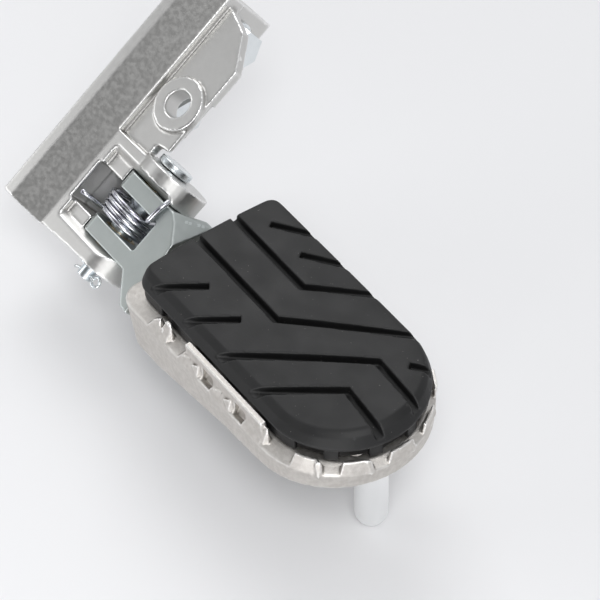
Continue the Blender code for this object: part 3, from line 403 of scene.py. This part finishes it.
# %% Rubber
def make_rubber():
    """Satin black rubber with a little dust, rubbed corners, shade painted into its hollows and specks of
    grit.
    """
    material, tree, shader = new_material("tread_rubber")
    place = tree.nodes.new("ShaderNodeTexCoord").outputs["Object"]
    wear_and_shade = use(tree, wear_and_shade_group, Width=0.06, Breakup=0.4, Noise_Scale=900.0)
    cloud = span(tree, noise_node(tree, place, 110.0, detail=3.0), 0.35, 0.7)
    dusty = mix_colour(tree, cloud, (0.0095, 0.0095, 0.0098), (0.0130, 0.0130, 0.0132))
    rubbed = mix_colour(tree, wear_and_shade.outputs["Mask"], dusty, (0.026, 0.026, 0.026))
    # Shade is painted into the concave corners of the grooves here.
    crease_shade = mix_colour(tree, wear_and_shade.outputs["Crease Shade"], rubbed, (0.004, 0.004, 0.004))
    specks = span(tree, noise_node(tree, place, 1500.0, detail=1.0), 0.77, 0.80)
    tree.links.new(mix_colour(tree, specks, crease_shade, (0.12, 0.115, 0.11)), shader.inputs["Base Color"])
    tree.links.new(span(tree, cloud, 0.0, 1.0, 0.46, 0.58), shader.inputs["Roughness"])
    shader.inputs["Specular IOR Level"].default_value = 0.34
    pebble = use(tree, grain_group, Scale=1500.0, Waves=0.8)
    bump_from(tree, shader, pebble.outputs["Height"], 0.000022)
    return material


rubber = make_rubber()
print("rubber:", rubber.name)

# %% [markdown]
# ## Soft corners on castings
#
# A casting has no sharp edge anywhere, because molten metal and the sand of the mould can't make
# one. Bevelling every edge of such a shape by hand is slow, and a bevel fails where many edges
# meet. Rebuilding the surface from small voxels and then smoothing it gives each corner the same
# small radius, inside and outside, which is just how a casting looks. A last step thins out the
# faces that flat areas don't need.

# %% Helpers for meshes
def object_from(bm, name):
    """A linked object from a bmesh, which is freed."""
    mesh = bpy.data.meshes.new(name)
    bm.to_mesh(mesh)
    bm.free()
    piece = bpy.data.objects.new(name, mesh)
    bpy.context.scene.collection.objects.link(piece)
    return piece


def apply_modifiers(piece):
    """The piece's mesh with its modifiers applied, in place of the old one."""
    bpy.context.view_layer.update()
    mesh = bpy.data.meshes.new_from_object(piece.evaluated_get(bpy.context.evaluated_depsgraph_get()))
    piece.modifiers.clear()
    old = piece.data
    piece.data = mesh
    bpy.data.meshes.remove(old)


def combine(piece, other, operation, use_self=False):
    """Cut a piece with another or weld the other to it, and remove the other."""
    modifier = piece.modifiers.new("combine", "BOOLEAN")
    modifier.operation = operation
    modifier.solver = "EXACT"
    modifier.use_self = use_self
    modifier.object = other
    apply_modifiers(piece)
    bpy.data.objects.remove(other)


def shade_smooth(mesh):
    """Shade every face of a mesh smooth."""
    mesh.polygons.foreach_set("use_smooth", [True] * len(mesh.polygons))
    mesh.update()


# %% Helpers for castings
WELD_DISTANCE, FLAT_ANGLE = 0.002 * MM, math.radians(0.2)


def solid_copy(node, name):
    """A copy of a CAD solid as a closed mesh of its own."""
    bm = bmesh.new()
    bm.from_mesh(frame["nodes"][node].data)
    bmesh.ops.remove_doubles(bm, verts=bm.verts, dist=WELD_DISTANCE)
    bmesh.ops.dissolve_limit(bm, angle_limit=FLAT_ANGLE, verts=bm.verts, edges=bm.edges)
    return object_from(bm, name)


def soften(piece, voxel, rounds, faces):
    """Round all corners of a closed piece: voxels, smoothing, then fewer faces."""
    remesh = piece.modifiers.new("voxels", "REMESH")
    remesh.mode = "VOXEL"
    remesh.voxel_size = voxel
    smooth = piece.modifiers.new("smooth", "SMOOTH")
    smooth.factor = 0.5
    smooth.iterations = rounds
    apply_modifiers(piece)
    # The voxels give squares, and thinning counts each of them as two triangles.
    share = faces / (2 * len(piece.data.polygons))
    if share < 1.0:
        thin = piece.modifiers.new("thin", "DECIMATE")
        thin.ratio = share
        apply_modifiers(piece)
    shade_smooth(piece.data)


def dress(piece, material, body, slot, *nodes):
    """Give a piece its finish and its body, and hide the solids that it stands for."""
    piece.data.materials.clear()
    piece.data.materials.append(material)
    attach(piece, body)
    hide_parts(*nodes)
    print(piece.name, len(piece.data.polygons), "faces, rides on", body)


# %% [markdown]
# ## The hanger
#
# The hanger is the aluminium casting that bolts to the motorcycle and holds the pin in its two
# ears. It comes from its solid by the casting recipe, with voxels small enough to keep the
# pocket's lead-in and the spot faces crisp.

# %% Hanger
hanger = solid_copy("hanger_bracket", "hanger")
soften(hanger, voxel=0.42 * MM, rounds=3, faces=150000)
dress(hanger, aluminium, "bracket", "cast_aluminium", "hanger_bracket")

# %% [markdown]
# ## The platform
#
# The platform is one casting: a rim with teeth that stop a boot from sliding, walls that deepen
# towards the hinge, and an open floor. The teeth end in sharp points, whose outer faces narrow
# downwards to the wall and flash in the light. Each point is the convex hull of a few corners,
# simply placed into the casting: the voxels then fuse whatever overlaps. They are smaller than
# the hanger's, so that the points stay sharp. A low fence joins the middle teeth, and two slots
# are cut below it first.

# %% Tooth points, in millimetres
FIRST_TOOTH, TOOTH_PITCH, SIDE_TEETH = 15.3, 14.9, 4
TIP_CENTRE, TIP_RADIUS = (64.3, -0.6), 23.9
TIP_ANGLES = range(-60, 61, 30)
# The rim round the tip is narrower towards the front side, and its points are thinner with it.
RIM_WIDTH, RIM_SHIFT, FULL_WIDTH = 2.4, Vector((0.6, 1.2)), 3.1
LEFT_POINT = (
    (-3.2, -26.1, -4.5), (-0.3, -25.4, -3.2), (-0.9, -27.3, -8.1), (-4.4, -24.8, -7.4),
    (-3.9, -26.8, -7.4), (0.7, -24.8, -7.4), (-1.4, -24.7, -3.6),
)
RIGHT_POINT = (
    (1.9, -25.5, -2.1), (4.4, -24.9, -1.1), (4.5, -28.0, -8.3), (1.0, -26.9, -7.4),
    (5.8, -26.3, -7.4), (5.2, -24.8, -7.4), (1.2, -24.8, -7.4), (4.6, -25.9, -4.4),
)
TIP_POINT = (
    (3.0, -1.9, -3.4), (4.4, -1.4, -3.3), (4.3, -3.2, -8.2), (2.6, -2.6, -7.6),
    (5.2, -2.2, -7.4), (4.8, -0.4, -7.4), (2.8, -0.4, -3.4), (2.6, -0.4, -7.4),
)
POINT_FOOT = -6
FENCE_TEETH = (1, 2)
# How far the tops of the points drop and how far they are pushed outward.
OPEN_TOP, LEFT_FENCE_TOP, RIGHT_FENCE_TOP = (0.0, 0.4), (0.9, 1.4), (2.2, 2.1)


def hull(bm, place, corners):
    """The convex hull of corners given in millimetres, added at a place."""
    verts = [bm.verts.new(place @ (Vector(corner) * MM)) for corner in corners]
    bmesh.ops.convex_hull(bm, input=verts)


def shifted_top(corners, drop, push):
    """The corners with those above the point's foot brought down and pushed outward."""
    return [(x, y - push, z - drop) if z > POINT_FOOT else (x, y, z) for x, y, z in corners]


def add_points(piece):
    """Pairs of points along the rear side, and one on the right flank of each tooth round the tip."""
    bm = bmesh.new()
    bm.from_mesh(piece.data)
    for i in range(SIDE_TEETH):
        place = pad_frame @ Matrix.Translation(((FIRST_TOOTH + i * TOOTH_PITCH) * MM, 0, 0))
        for corners, fence_top in ((LEFT_POINT, LEFT_FENCE_TOP), (RIGHT_POINT, RIGHT_FENCE_TOP)):
            drop, push = fence_top if i in FENCE_TEETH else OPEN_TOP
            hull(bm, place, shifted_top(corners, drop, push))
    for degrees in TIP_ANGLES:
        angle = math.radians(degrees)
        normal = Vector((math.cos(angle), math.sin(angle)))
        edge_point = Vector(TIP_CENTRE) + normal * TIP_RADIUS
        rim_share = (RIM_WIDTH - RIM_SHIFT.dot(normal)) / FULL_WIDTH
        place = pad_frame @ Matrix.Translation(edge_point.to_3d() * MM)
        place = place @ Matrix.Rotation(angle + math.radians(90), 4, "Z")
        hull(bm, place, [(x, y * rim_share, z) for x, y, z in TIP_POINT])
    bm.to_mesh(piece.data)
    bm.free()


# %% Slots under the fence, in millimetres
SLOTS = ((36.0, 40.6), (50.9, 55.5))
SLOT_DEPTH, SLOT_HEIGHT, SLOT_Y, SLOT_Z = 3.0, 4.4, -26.4, -5.3
SLOT_TILT = math.radians(-24)


def cut_slots(piece):
    """Slots below the fence, where mud drops out between the teeth."""
    bm = bmesh.new()
    for first, last in SLOTS:
        size = Vector((last - first, SLOT_DEPTH, SLOT_HEIGHT)) * MM
        middle = Vector(((first + last) / 2, SLOT_Y, SLOT_Z)) * MM
        turn = Matrix.Rotation(SLOT_TILT, 4, "X")
        place = pad_frame @ Matrix.Translation(middle) @ turn @ Matrix.Diagonal(size).to_4x4()
        bmesh.ops.create_cube(bm, size=1.0, matrix=place)
    combine(piece, object_from(bm, "slots"), "DIFFERENCE", use_self=True)


# %% Platform casting
platform = solid_copy("peg_casting", "platform")
cut_slots(platform)
add_points(platform)
soften(platform, voxel=0.28 * MM, rounds=2, faces=190000)
dress(platform, stainless, "footpeg", "cast_stainless", "peg_casting")

# %% [markdown]
# ## The adapter
#
# The adapter joins the platform to the pin. It is forged and then machined where the arms run
# between the ears, so its edges are tighter than a casting's.

# %% Adapter
adapter = solid_copy("hinge_adapter", "adapter")
soften(adapter, voxel=0.34 * MM, rounds=2, faces=120000)
dress(adapter, satin_zinc, "footpeg", "zinc_plate", "hinge_adapter")

# %% [markdown]
# ## The tread pad
#
# The pad is moulded rubber: a crowned block with chevron grooves that shed water, and a skirt
# that drops inside the teeth. It could be sculpted, but its shape is really a plan outline at
# several heights, which is a loft. The loft is drawn with many points round the tip so that no
# facet shows, the grooves are cut with one boolean, and the casting recipe then gives the soft
# corners of a moulding.

# %% Pad: plan and loft
PAD_LENGTH, PAD_REAR, PAD_FRONT = 88.2 * MM, 24.5 * MM, 24.2 * MM
PAD_SHIFT, PAD_CORNER, LEAST_CORNER = 0.6 * MM, 6.0 * MM, 0.5 * MM
PAD_TIP_RADIUS = PAD_REAR - PAD_SHIFT
PAD_RISE, PAD_CROWN, PAD_BEVEL = 3.2 * MM, 1.4 * MM, 3.9 * MM
SKIRT_DEPTH, SKIRT_INSET, LIP = 5.4 * MM, 0.7 * MM, 0.5 * MM
STEEP_SHARE, CROWN_STRIPS = 0.35, 20
TIP_FACETS, CORNER_FACETS = 72, 16


def arc(centre, radius, first, last, steps):
    """Points along an arc, both ends included; angles in degrees."""
    angles = [math.radians(first + (last - first) * i / steps) for i in range(steps + 1)]
    return [(centre[0] + radius * math.cos(a), centre[1] + radius * math.sin(a)) for a in angles]


def ring(radius, sides, x=0, y=0):
    """Points round a full circle, the first one not repeated."""
    return arc((x, y), radius, 0, 360 - 360 / sides, sides - 1)


def pad_outline(offset, inner):
    """The pad's plan grown by an offset; the front side draws in less, so its edge is steeper."""
    corner = max(PAD_CORNER + offset, LEAST_CORNER)
    steep = STEEP_SHARE * offset if offset < -SKIRT_INSET else offset
    tip_centre = (PAD_LENGTH - PAD_TIP_RADIUS, -PAD_SHIFT)
    points = arc(tip_centre, PAD_TIP_RADIUS + offset, -90, 90, TIP_FACETS)
    points += arc((inner + corner, PAD_FRONT + offset - corner), corner, 90, 180, CORNER_FACETS)
    points += arc((inner + corner, corner - PAD_REAR - offset), corner, 180, 270, CORNER_FACETS)
    wider = (PAD_FRONT + steep) / (PAD_FRONT + offset)
    return [(x, y * wider if y > 0 else y) for x, y in points]


def loft(rings):
    """A closed body through outlines of equal point count, each an (outline, z) pair."""
    bm = bmesh.new()
    rows = [[bm.verts.new((x, y, z)) for x, y in outline] for outline, z in rings]
    for lower, upper in zip(rows, rows[1:]):
        for i in range(len(lower)):
            j = (i + 1) % len(lower)
            bm.faces.new((lower[i], lower[j], upper[j], upper[i]))
    bm.faces.new(rows[0])
    bm.faces.new(rows[-1])
    return bm


def join_rings(bm, rows):
    """Faces between rings of points that run down a turned shape."""
    for upper, lower in zip(rows, rows[1:]):
        for i in range(len(upper)):
            j = (i + 1) % len(upper)
            bm.faces.new((upper[i], lower[i], lower[j], upper[j]))


def pad_body():
    """The pad before its grooves: skirt, lip, bevel and crown."""
    skirt = [(-SKIRT_INSET - 0.4 * MM, -SKIRT_DEPTH), (-SKIRT_INSET, 0.5 * MM - SKIRT_DEPTH)]
    lip = [(-SKIRT_INSET, -LIP), (0.0, 0.2 * MM - LIP), (0.0, 0.6 * LIP)]
    bevel = [(-0.45 * PAD_BEVEL, 0.72 * PAD_RISE), (-0.8 * PAD_BEVEL, 0.93 * PAD_RISE)]
    steps = skirt + lip + bevel + [(-PAD_BEVEL, PAD_RISE)]
    bm = loft([(pad_outline(offset, -STEEP_SHARE * offset), z) for offset, z in steps])
    width = PAD_REAR + PAD_FRONT
    for i in range(1 - CROWN_STRIPS // 2, CROWN_STRIPS // 2):
        everything = bm.verts[:] + bm.edges[:] + bm.faces[:]
        cut_at = (0, i * width / CROWN_STRIPS, 0)
        bmesh.ops.bisect_plane(bm, geom=everything, plane_co=cut_at, plane_no=(0, 1, 0))
    for vertex in bm.verts:
        if vertex.co.z > LIP:
            across = 2 * vertex.co.y / width
            vertex.co.z += vertex.co.z / PAD_RISE * PAD_CROWN * (1 - across ** 2)
    bmesh.ops.recalc_face_normals(bm, faces=bm.faces)
    return bm


pad = object_from(pad_body(), "tread")
print("pad body:", len(pad.data.vertices), "points")

# %% [markdown]
# ## The pad's grooves
#
# Four long grooves bend into chevrons along the pad, and short ones run in from its edges. Each
# is a bar that follows a bent line, mitred at the bend like a picture frame. Drawing them as
# lines with a width keeps the pattern easy to change.

# %% Pad: grooves
GROOVE_LEFT, GROOVE_RIGHT = 1.55 * MM, 0.85 * MM
GROOVE_FLOOR, ABOVE_PAD = 1.4 * MM, 8 * MM
PAST_EDGE = 27.0
GROOVES = (
    [(-3, 8.9), (34.3, 8.1), (52.5, PAST_EDGE)],
    [(-3, -3.9), (39.6, -4.6), (71.5, PAST_EDGE)],
    [(36.8, -PAST_EDGE), (67.9, 8.1), (92, 6.4)],
    [(52.4, -PAST_EDGE), (70.8, -4.4), (92, -6.4)],
    [(6.2, -PAST_EDGE), (18.7, -11.7)],
    [(21.4, -PAST_EDGE), (33.8, -11.8)],
    [(9.8, 15.4), (25.6, PAST_EDGE)],
    [(24.3, 15.1), (40.2, PAST_EDGE)],
    [(74.0, 14.1), (86.0, 24.0)],
)


def groove_bar(bm, points):
    """A bar along a bent line in millimetres, from the groove's floor to above the pad."""
    line = [Vector(point) * MM for point in points]
    runs = [(after - before).normalized() for before, after in zip(line, line[1:])]
    left, right = [], []
    for i, point in enumerate(line):
        before, after = runs[max(i - 1, 0)], runs[min(i, len(runs) - 1)]
        across = Vector((-before.y - after.y, before.x + after.x)).normalized()
        stretch = 1 / across.dot(Vector((-after.y, after.x)))
        left.append(point + across * GROOVE_LEFT * stretch)
        right.append(point - across * GROOVE_RIGHT * stretch)
    rows = []
    for height in (GROOVE_FLOOR, ABOVE_PAD):
        rows.append([bm.verts.new((p.x, p.y, height)) for p in right + left[::-1]])
    count = len(rows[0])
    for i in range(count):
        j = (i + 1) % count
        bm.faces.new((rows[0][i], rows[0][j], rows[1][j], rows[1][i]))
    bm.faces.new(rows[0][::-1])
    bm.faces.new(rows[1])


bars = bmesh.new()
for line in GROOVES:
    groove_bar(bars, line)
bmesh.ops.recalc_face_normals(bars, faces=bars.faces)
combine(pad, object_from(bars, "groove_bars"), "DIFFERENCE")
print("grooves:", len(GROOVES), "pad:", len(pad.data.polygons), "faces")

# %% [markdown]
# ## The pad's skirt and knobs
#
# Behind each tooth at the tip, and beside the first tooth of each side, the skirt is cut back, so
# that mud can drop through. Below the floor four knobs with wider heads hold the pad in the
# casting; it is pressed in by hand and pulled out for off-road use. The knobs stay out of sight,
# so plain rings of points are enough.

# %% Pad: pockets in the skirt
POCKET_Y, POCKET_Z = (-4 * MM, 2.6 * MM), (-8 * MM, -1.2 * MM)
TIP_POCKET_X, SIDE_POCKET_X = (-4 * MM, 4 * MM), (-2.6 * MM, 0)


def pocket_box(bm, place, x, y, z):
    """A box added at a turned place, given its ends along each axis."""
    size = Vector((x[1] - x[0], y[1] - y[0], z[1] - z[0]))
    centre = Vector((x[0] + x[1], y[0] + y[1], z[0] + z[1])) / 2
    box = place @ Matrix.Translation(centre) @ Matrix.Diagonal(size).to_4x4()
    bmesh.ops.create_cube(bm, size=1.0, matrix=box)


def edge_place(x, y, angle):
    """A place on the pad's edge: x along the edge, y towards the pad's middle."""
    return Matrix.Translation((x, y, 0)) @ Matrix.Rotation(math.radians(angle + 90), 4, "Z")


pockets = bmesh.new()
for angle in TIP_ANGLES:
    x, y = arc((PAD_LENGTH - PAD_TIP_RADIUS, -PAD_SHIFT), PAD_TIP_RADIUS, angle, angle, 1)[0]
    pocket_box(pockets, edge_place(x, y, angle), TIP_POCKET_X, POCKET_Y, POCKET_Z)
for y, angle in ((-PAD_REAR, -90), (PAD_FRONT, 90)):
    pocket_box(pockets, edge_place(FIRST_TOOTH * MM, y, angle), SIDE_POCKET_X, POCKET_Y, POCKET_Z)
combine(pad, object_from(pockets, "skirt_pockets"), "DIFFERENCE")
print("pad with pockets:", len(pad.data.polygons), "faces")

# %% Pad: knobs and finish
KNOB_SIDES = 28
KNOBS = ((44, 14), (44, -14), (64, 12), (64, -12))
KNOB_PROFILE = ((3.5, -4.6), (3.5, -8.8), (4.7, -8.8), (4.4, -10.2), (3.7, -11.0))


def knob(bm, x, y):
    """A mushroom knob under the pad, as rings of points down its side."""
    rows = []
    for radius, z in KNOB_PROFILE:
        circle = ring(radius * MM, KNOB_SIDES, x * MM, y * MM)
        rows.append([bm.verts.new((px, py, z * MM)) for px, py in circle])
    join_rings(bm, rows)
    bm.faces.new(rows[0])
    bm.faces.new(rows[-1][::-1])


knobs = bmesh.new()
for x, y in KNOBS:
    knob(knobs, x, y)
bmesh.ops.recalc_face_normals(knobs, faces=knobs.faces)
combine(pad, object_from(knobs, "pad_knobs"), "UNION")
soften(pad, voxel=0.30 * MM, rounds=2, faces=180000)
pad.data.transform(pad_frame)
dress(pad, rubber, "footpeg", "tread_rubber", "tread_pad")

# %% [markdown]
# ## The return spring
#
# A torsion spring folds the peg down again: about four turns of wire between the arms, one leg
# in the hanger and one across the front arm. A round wire is a line with thickness, so it is
# computed as one smooth path and swept. As the peg folds, the coil winds up: one end stays with
# the hanger and the other turns with the adapter.

# %% Spring path
WIRE, COIL_DIAMETER, COIL_SKEW = 1.6 * MM, 18.8 * MM, 1.6 * MM
WIRE_SIDES = 16
COIL_TURNS, COIL_LENGTH = 4, 7.6 * MM
HANGER_LEG = Vector((-15.2, -3.8, 7.6)) * MM
ADAPTER_LEG = Vector((11.3, 3.8, 8.9)) * MM
LEG_STEPS, STEPS_PER_TURN = 6, 40
TAIL_BEND = ((-0.2, 0.1, -1.0), (0.0, 0.35, -0.25), (0.1, 0.9, 0.0), (0.5, 4.5, 0.0), (1.4, 8.7, 0.0))


def coil_points():
    """The coil from the hanger's leg to the adapter's, in the hinge's frame."""
    radius = (COIL_DIAMETER - WIRE) / 2
    reach = math.hypot(HANGER_LEG.x, HANGER_LEG.z)
    first = math.atan2(HANGER_LEG.z, HANGER_LEG.x) + math.acos(radius / reach)
    turns = COIL_TURNS + 1 - first / math.tau
    steps = int(STEPS_PER_TURN * turns)
    points = []
    for i in range(steps + 1):
        share = i / steps
        angle = first + math.tau * turns * share
        along = COIL_LENGTH * (share - 0.5)
        across = radius * math.cos(angle) - COIL_SKEW * share
        points.append(Vector((across, along, radius * math.sin(angle))))
    return points


coil = coil_points()
leg = [HANGER_LEG.lerp(coil[0], i / LEG_STEPS) for i in range(LEG_STEPS)]
tail = [coil[-1].lerp(ADAPTER_LEG, 0.5)]
tail += [ADAPTER_LEG + Vector(step) * MM for step in TAIL_BEND]
path = leg + coil + tail
print("spring path:", len(path), "points")

# %% Spring wire
TIP_RISE = 0.35


def sweep(path, radius, sides, name):
    """A tube along a path, closed with low pointed ends; its rings turn as little as they can."""
    bm = bmesh.new()
    last = len(path) - 1
    runs = [(path[min(i + 1, last)] - path[max(i - 1, 0)]).normalized() for i in range(len(path))]
    side = runs[0].orthogonal().normalized()
    rows = []
    for point, run in zip(path, runs):
        side = (side - run * side.dot(run)).normalized()
        other = run.cross(side)
        angles = [math.tau * k / sides for k in range(sides)]
        around = [point + (side * math.cos(a) + other * math.sin(a)) * radius for a in angles]
        rows.append([bm.verts.new(p) for p in around])
    for before, after in zip(rows, rows[1:]):
        for k in range(sides):
            bm.faces.new((before[k], before[(k + 1) % sides], after[(k + 1) % sides], after[k]))
    for row, point, direction in ((rows[0], path[0], -runs[0]), (rows[-1], path[-1], runs[-1])):
        tip = bm.verts.new(point + direction * radius * TIP_RISE)
        for k in range(sides):
            bm.faces.new((row[k], row[(k + 1) % sides], tip))
    bmesh.ops.recalc_face_normals(bm, faces=bm.faces)
    return object_from(bm, name)


spring = sweep(path, WIRE / 2, WIRE_SIDES, "torsion_spring")
shade_smooth(spring.data)
spring.data.materials.append(spring_steel)
spring.data.transform(hinge_frame)
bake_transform(spring)
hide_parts("return_spring")
print("spring faces:", len(spring.data.polygons))

# %% [markdown]
# ## Turned pieces
#
# The clevis pin, its washer and the feeler bolt were all made on a lathe, so each is a profile
# spun about an axis. Every corner of the profile is broken with a short curve, because a sharp
# one would catch no light. Sixty-four steps round are enough for a head that fills a small part
# of the picture.

# %% Helper: turned piece
LATHE_STEPS, CORNER_STEPS, CORNER_SHARE = 64, 4, 0.45
AXIS_RADIUS, SAME_POINT = 0.001, 0.0005 * MM


def rounded(profile, radius):
    """The profile in millimetres with each inner corner replaced by a short curve."""
    points = [Vector(p) for p in profile]
    result = [points[0]]
    for before, corner, after in zip(points, points[1:], points[2:]):
        shorter = min((corner - before).length, (after - corner).length)
        reach = min(radius, shorter * CORNER_SHARE)
        first = corner + (before - corner).normalized() * reach
        last = corner + (after - corner).normalized() * reach
        for i in range(CORNER_STEPS + 1):
            t = i / CORNER_STEPS
            result.append(first.lerp(corner, t).lerp(corner.lerp(last, t), t))
    result.append(points[-1])
    return result


def lathe(profile, name, place, radius):
    """A closed turned piece from (radius, height) points in millimetres, down its outer side."""
    bm = bmesh.new()
    rows = []
    for point in rounded(profile, radius):
        circle = ring(max(point.x, AXIS_RADIUS) * MM, LATHE_STEPS)
        rows.append([bm.verts.new((x, y, point.y * MM)) for x, y in circle])
    join_rings(bm, rows)
    if profile[0] == profile[-1]:
        bmesh.ops.remove_doubles(bm, verts=bm.verts, dist=SAME_POINT)
    else:
        bm.faces.new(rows[0])
        bm.faces.new(rows[-1][::-1])
    bmesh.ops.recalc_face_normals(bm, faces=bm.faces)
    piece = object_from(bm, name)
    piece.data.transform(place)
    shade_smooth(piece.data)
    return piece


along_pin = hinge_frame @ Matrix.Rotation(math.radians(-90), 4, "X")
print("axis of turned hinge pieces:", [round(v, 3) for v in along_pin.to_3x3() @ Vector((0, 0, 1))])

# %% Clevis pin, washer and feeler
PIN_HEAD = [(0, 20.6), (5.6, 20.6), (5.6, 18.3), (4.0, 18.3)]
PIN_PROFILE = PIN_HEAD + [(4.0, -17.8), (2.5, -17.8), (2.5, -22.6), (0, -22.6)]
pin = lathe(PIN_PROFILE, "clevis_pin", along_pin, radius=0.5)
dress(pin, bright_zinc, "bracket", "zinc_plate", "pivot_pin")

WASHER_PROFILE = [(2.8, -18.1), (4.7, -18.1), (4.7, -18.7), (2.8, -18.7), (2.8, -18.1)]
washer = lathe(WASHER_PROFILE, "tail_washer", along_pin, radius=0.15)
dress(washer, bright_zinc, "bracket", "zinc_plate", "pivot_washer")

FEELER_X = 76 * MM
FEELER_PROFILE = [(0, -6.0), (3.0, -6.0), (3.0, -22.3), (4.8, -22.3), (4.8, -47.1), (3.4, -49.6), (0, -50.3)]
feeler_place = pad_frame @ Matrix.Translation((FEELER_X, 0, 0))
feeler = lathe(FEELER_PROFILE, "lean_feeler", feeler_place, radius=1.2)
dress(feeler, feeler_zinc_painted_light, "footpeg", "zinc_plate", "feeler_bolt")

# %% [markdown]
# ## The split pin
#
# A split pin is half-round wire folded on itself into an eye, pushed through the clevis pin and
# bent back so that it can't fall out. At this size one round wire reads the same, so it is swept
# along a path like the spring.

# %% Split pin
EYE, SHANK, CROSSING = 1.45, 3.3, -20.95
PIN_WIRE, PIN_WIRE_SIDES = 1.0 * MM, 14
split_line = [(-1.0, -SHANK - 1.6), (-0.6, -SHANK - 1.0), (-0.3, -SHANK - 0.4)]
split_line += [(0.0, -SHANK / 2), (0.0, 0.0), (0.0, SHANK / 2)]
split_line += arc((0.0, SHANK + EYE), EYE, -90, 240, 40)
split_path = [Vector((v, CROSSING + u, 0.0)) * MM for u, v in split_line]
split = sweep(split_path, PIN_WIRE / 2, PIN_WIRE_SIDES, "split_pin_wire")
split.data.transform(hinge_frame)
shade_smooth(split.data)
dress(split, bright_zinc, "bracket", "zinc_plate", "split_pin")

# %% [markdown]
# ## Bolts, washers and bushes
#
# The screws under the platform, the frame bolts and the bushes are small and mostly hidden, and
# their solids already have the right shape. They keep their meshes and only get a finish.

# %% Finish of the carried-over solids
plated = [f"frame_{kind}_{end}" for kind in ("bolt", "washer") for end in ("rear", "front")]
plated += [f"adapter_{kind}_{end}" for kind in ("screw", "washer") for end in ("inner", "outer")]
bushes = ["pivot_bush_rear", "pivot_bush_front"]
for nodes, material in ((plated, bright_zinc), (bushes, bronze)):
    for node in nodes:
        for slot in frame["nodes"][node].material_slots:
            slot.material = material
print("solids with a new finish:", len(plated + bushes))

# %% [markdown]
# ## Floor and light
#
# The photograph was taken in a studio on a pale sweep. A large plane in pale grey gives the same
# calm ground and catches a soft shadow. Metal shows what surrounds it, so the world is a bright
# even grey with a dark patch behind the footpeg, which keeps the hanger's sloping face darker than
# its front. Large soft lamps make the long highlights that tell a rounded edge from a flat one.

# %% Floor
FLOOR_REACH, FLOOR_GAP = 6.0, 0.5 * MM


def make_floor():
    """A large pale plane just below the part, which belongs to the stage and not to the part."""
    material, tree, shader = new_material("studio_floor")
    place = tree.nodes.new("ShaderNodeTexCoord").outputs["Object"]
    cloud = span(tree, noise_node(tree, place, 1.5, detail=1.0), 0.3, 0.7)
    paint = mix_colour(tree, cloud, (0.80, 0.80, 0.81), (0.84, 0.84, 0.85))
    tree.links.new(paint, shader.inputs["Base Color"])
    shader.inputs["Roughness"].default_value = 0.9
    bm = bmesh.new()
    bmesh.ops.create_grid(bm, x_segments=1, y_segments=1, size=FLOOR_REACH)
    floor = object_from(bm, "floor")
    floor.location.z = solid_box[0].z - FLOOR_GAP
    floor.data.materials.append(material)
    floor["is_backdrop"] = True
    return floor


floor = make_floor()
print("floor at", round(floor.location.z, 4), "m")

# %% Lamps and world
world = bpy.data.worlds.new("studio")
bpy.context.scene.world = world
world.use_nodes = True
DARK_SIDE = Vector((-0.05, -0.78, 0.62)).normalized()
DARK_FROM, DARK_FULL = 0.82, 0.96
WALL_COLOUR, DARK_COLOUR, WORLD_STRENGTH = (0.93, 0.94, 0.96), (0.17, 0.17, 0.17), 0.64


def studio_walls(tree):
    """An even bright room with a soft dark patch on one side."""
    background = tree.nodes["Background"]
    looking = tree.nodes.new("ShaderNodeTexCoord").outputs["Generated"]
    along = tree.nodes.new("ShaderNodeVectorMath")
    along.operation = "DOT_PRODUCT"
    along.inputs[1].default_value = DARK_SIDE
    tree.links.new(looking, along.inputs[0])
    share = span(tree, along.outputs["Value"], DARK_FROM, DARK_FULL)
    tree.links.new(mix_colour(tree, share, WALL_COLOUR, DARK_COLOUR), background.inputs["Color"])
    background.inputs["Strength"].default_value = WORLD_STRENGTH


studio_walls(world.node_tree)


def soft_lamp(name, place, target, size, power):
    """An area lamp of a width and a height that looks at a target, with its power in watts."""
    light = bpy.data.lights.new(name, "AREA")
    light.shape = "RECTANGLE"
    light.size, light.size_y = size
    light.energy = power
    lamp = bpy.data.objects.new(name, light)
    lamp.location = place
    lamp.rotation_euler = (Vector(target) - Vector(place)).to_track_quat("-Z", "Y").to_euler()
    bpy.context.scene.collection.objects.link(lamp)


PART_CENTRE, TIP_WALL = (0.08, 0.0, 0.0), (0.12, -0.03, -0.04)
soft_lamp("overhead", (-0.45, 0.30, 0.80), PART_CENTRE, (0.6, 0.6), 3.0)
soft_lamp("tip_side", (0.58, -0.30, 0.80), PART_CENTRE, (0.35, 0.35), 3.2)
soft_lamp("rear_strip", (-0.45, -0.60, 0.25), PART_CENTRE, (0.6, 0.2), 0.9)
soft_lamp("low_tip", (0.50, -0.50, 0.05), TIP_WALL, (0.4, 0.3), 1.6)
bpy.context.scene.view_settings.view_transform = "Standard"

# %% [markdown]
# ## Sizes
#
# The dressed model must fill the same box as the solids, or it wouldn't fit where they do. Both
# boxes are written down so that they can be compared.

# %% Print the boxes and finish
shown_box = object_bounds()
for name, corners in (("solids", solid_box), ("shown", shown_box)):
    print(name, [round((high - low) * 1000, 1) for low, high in zip(*corners)], "mm")
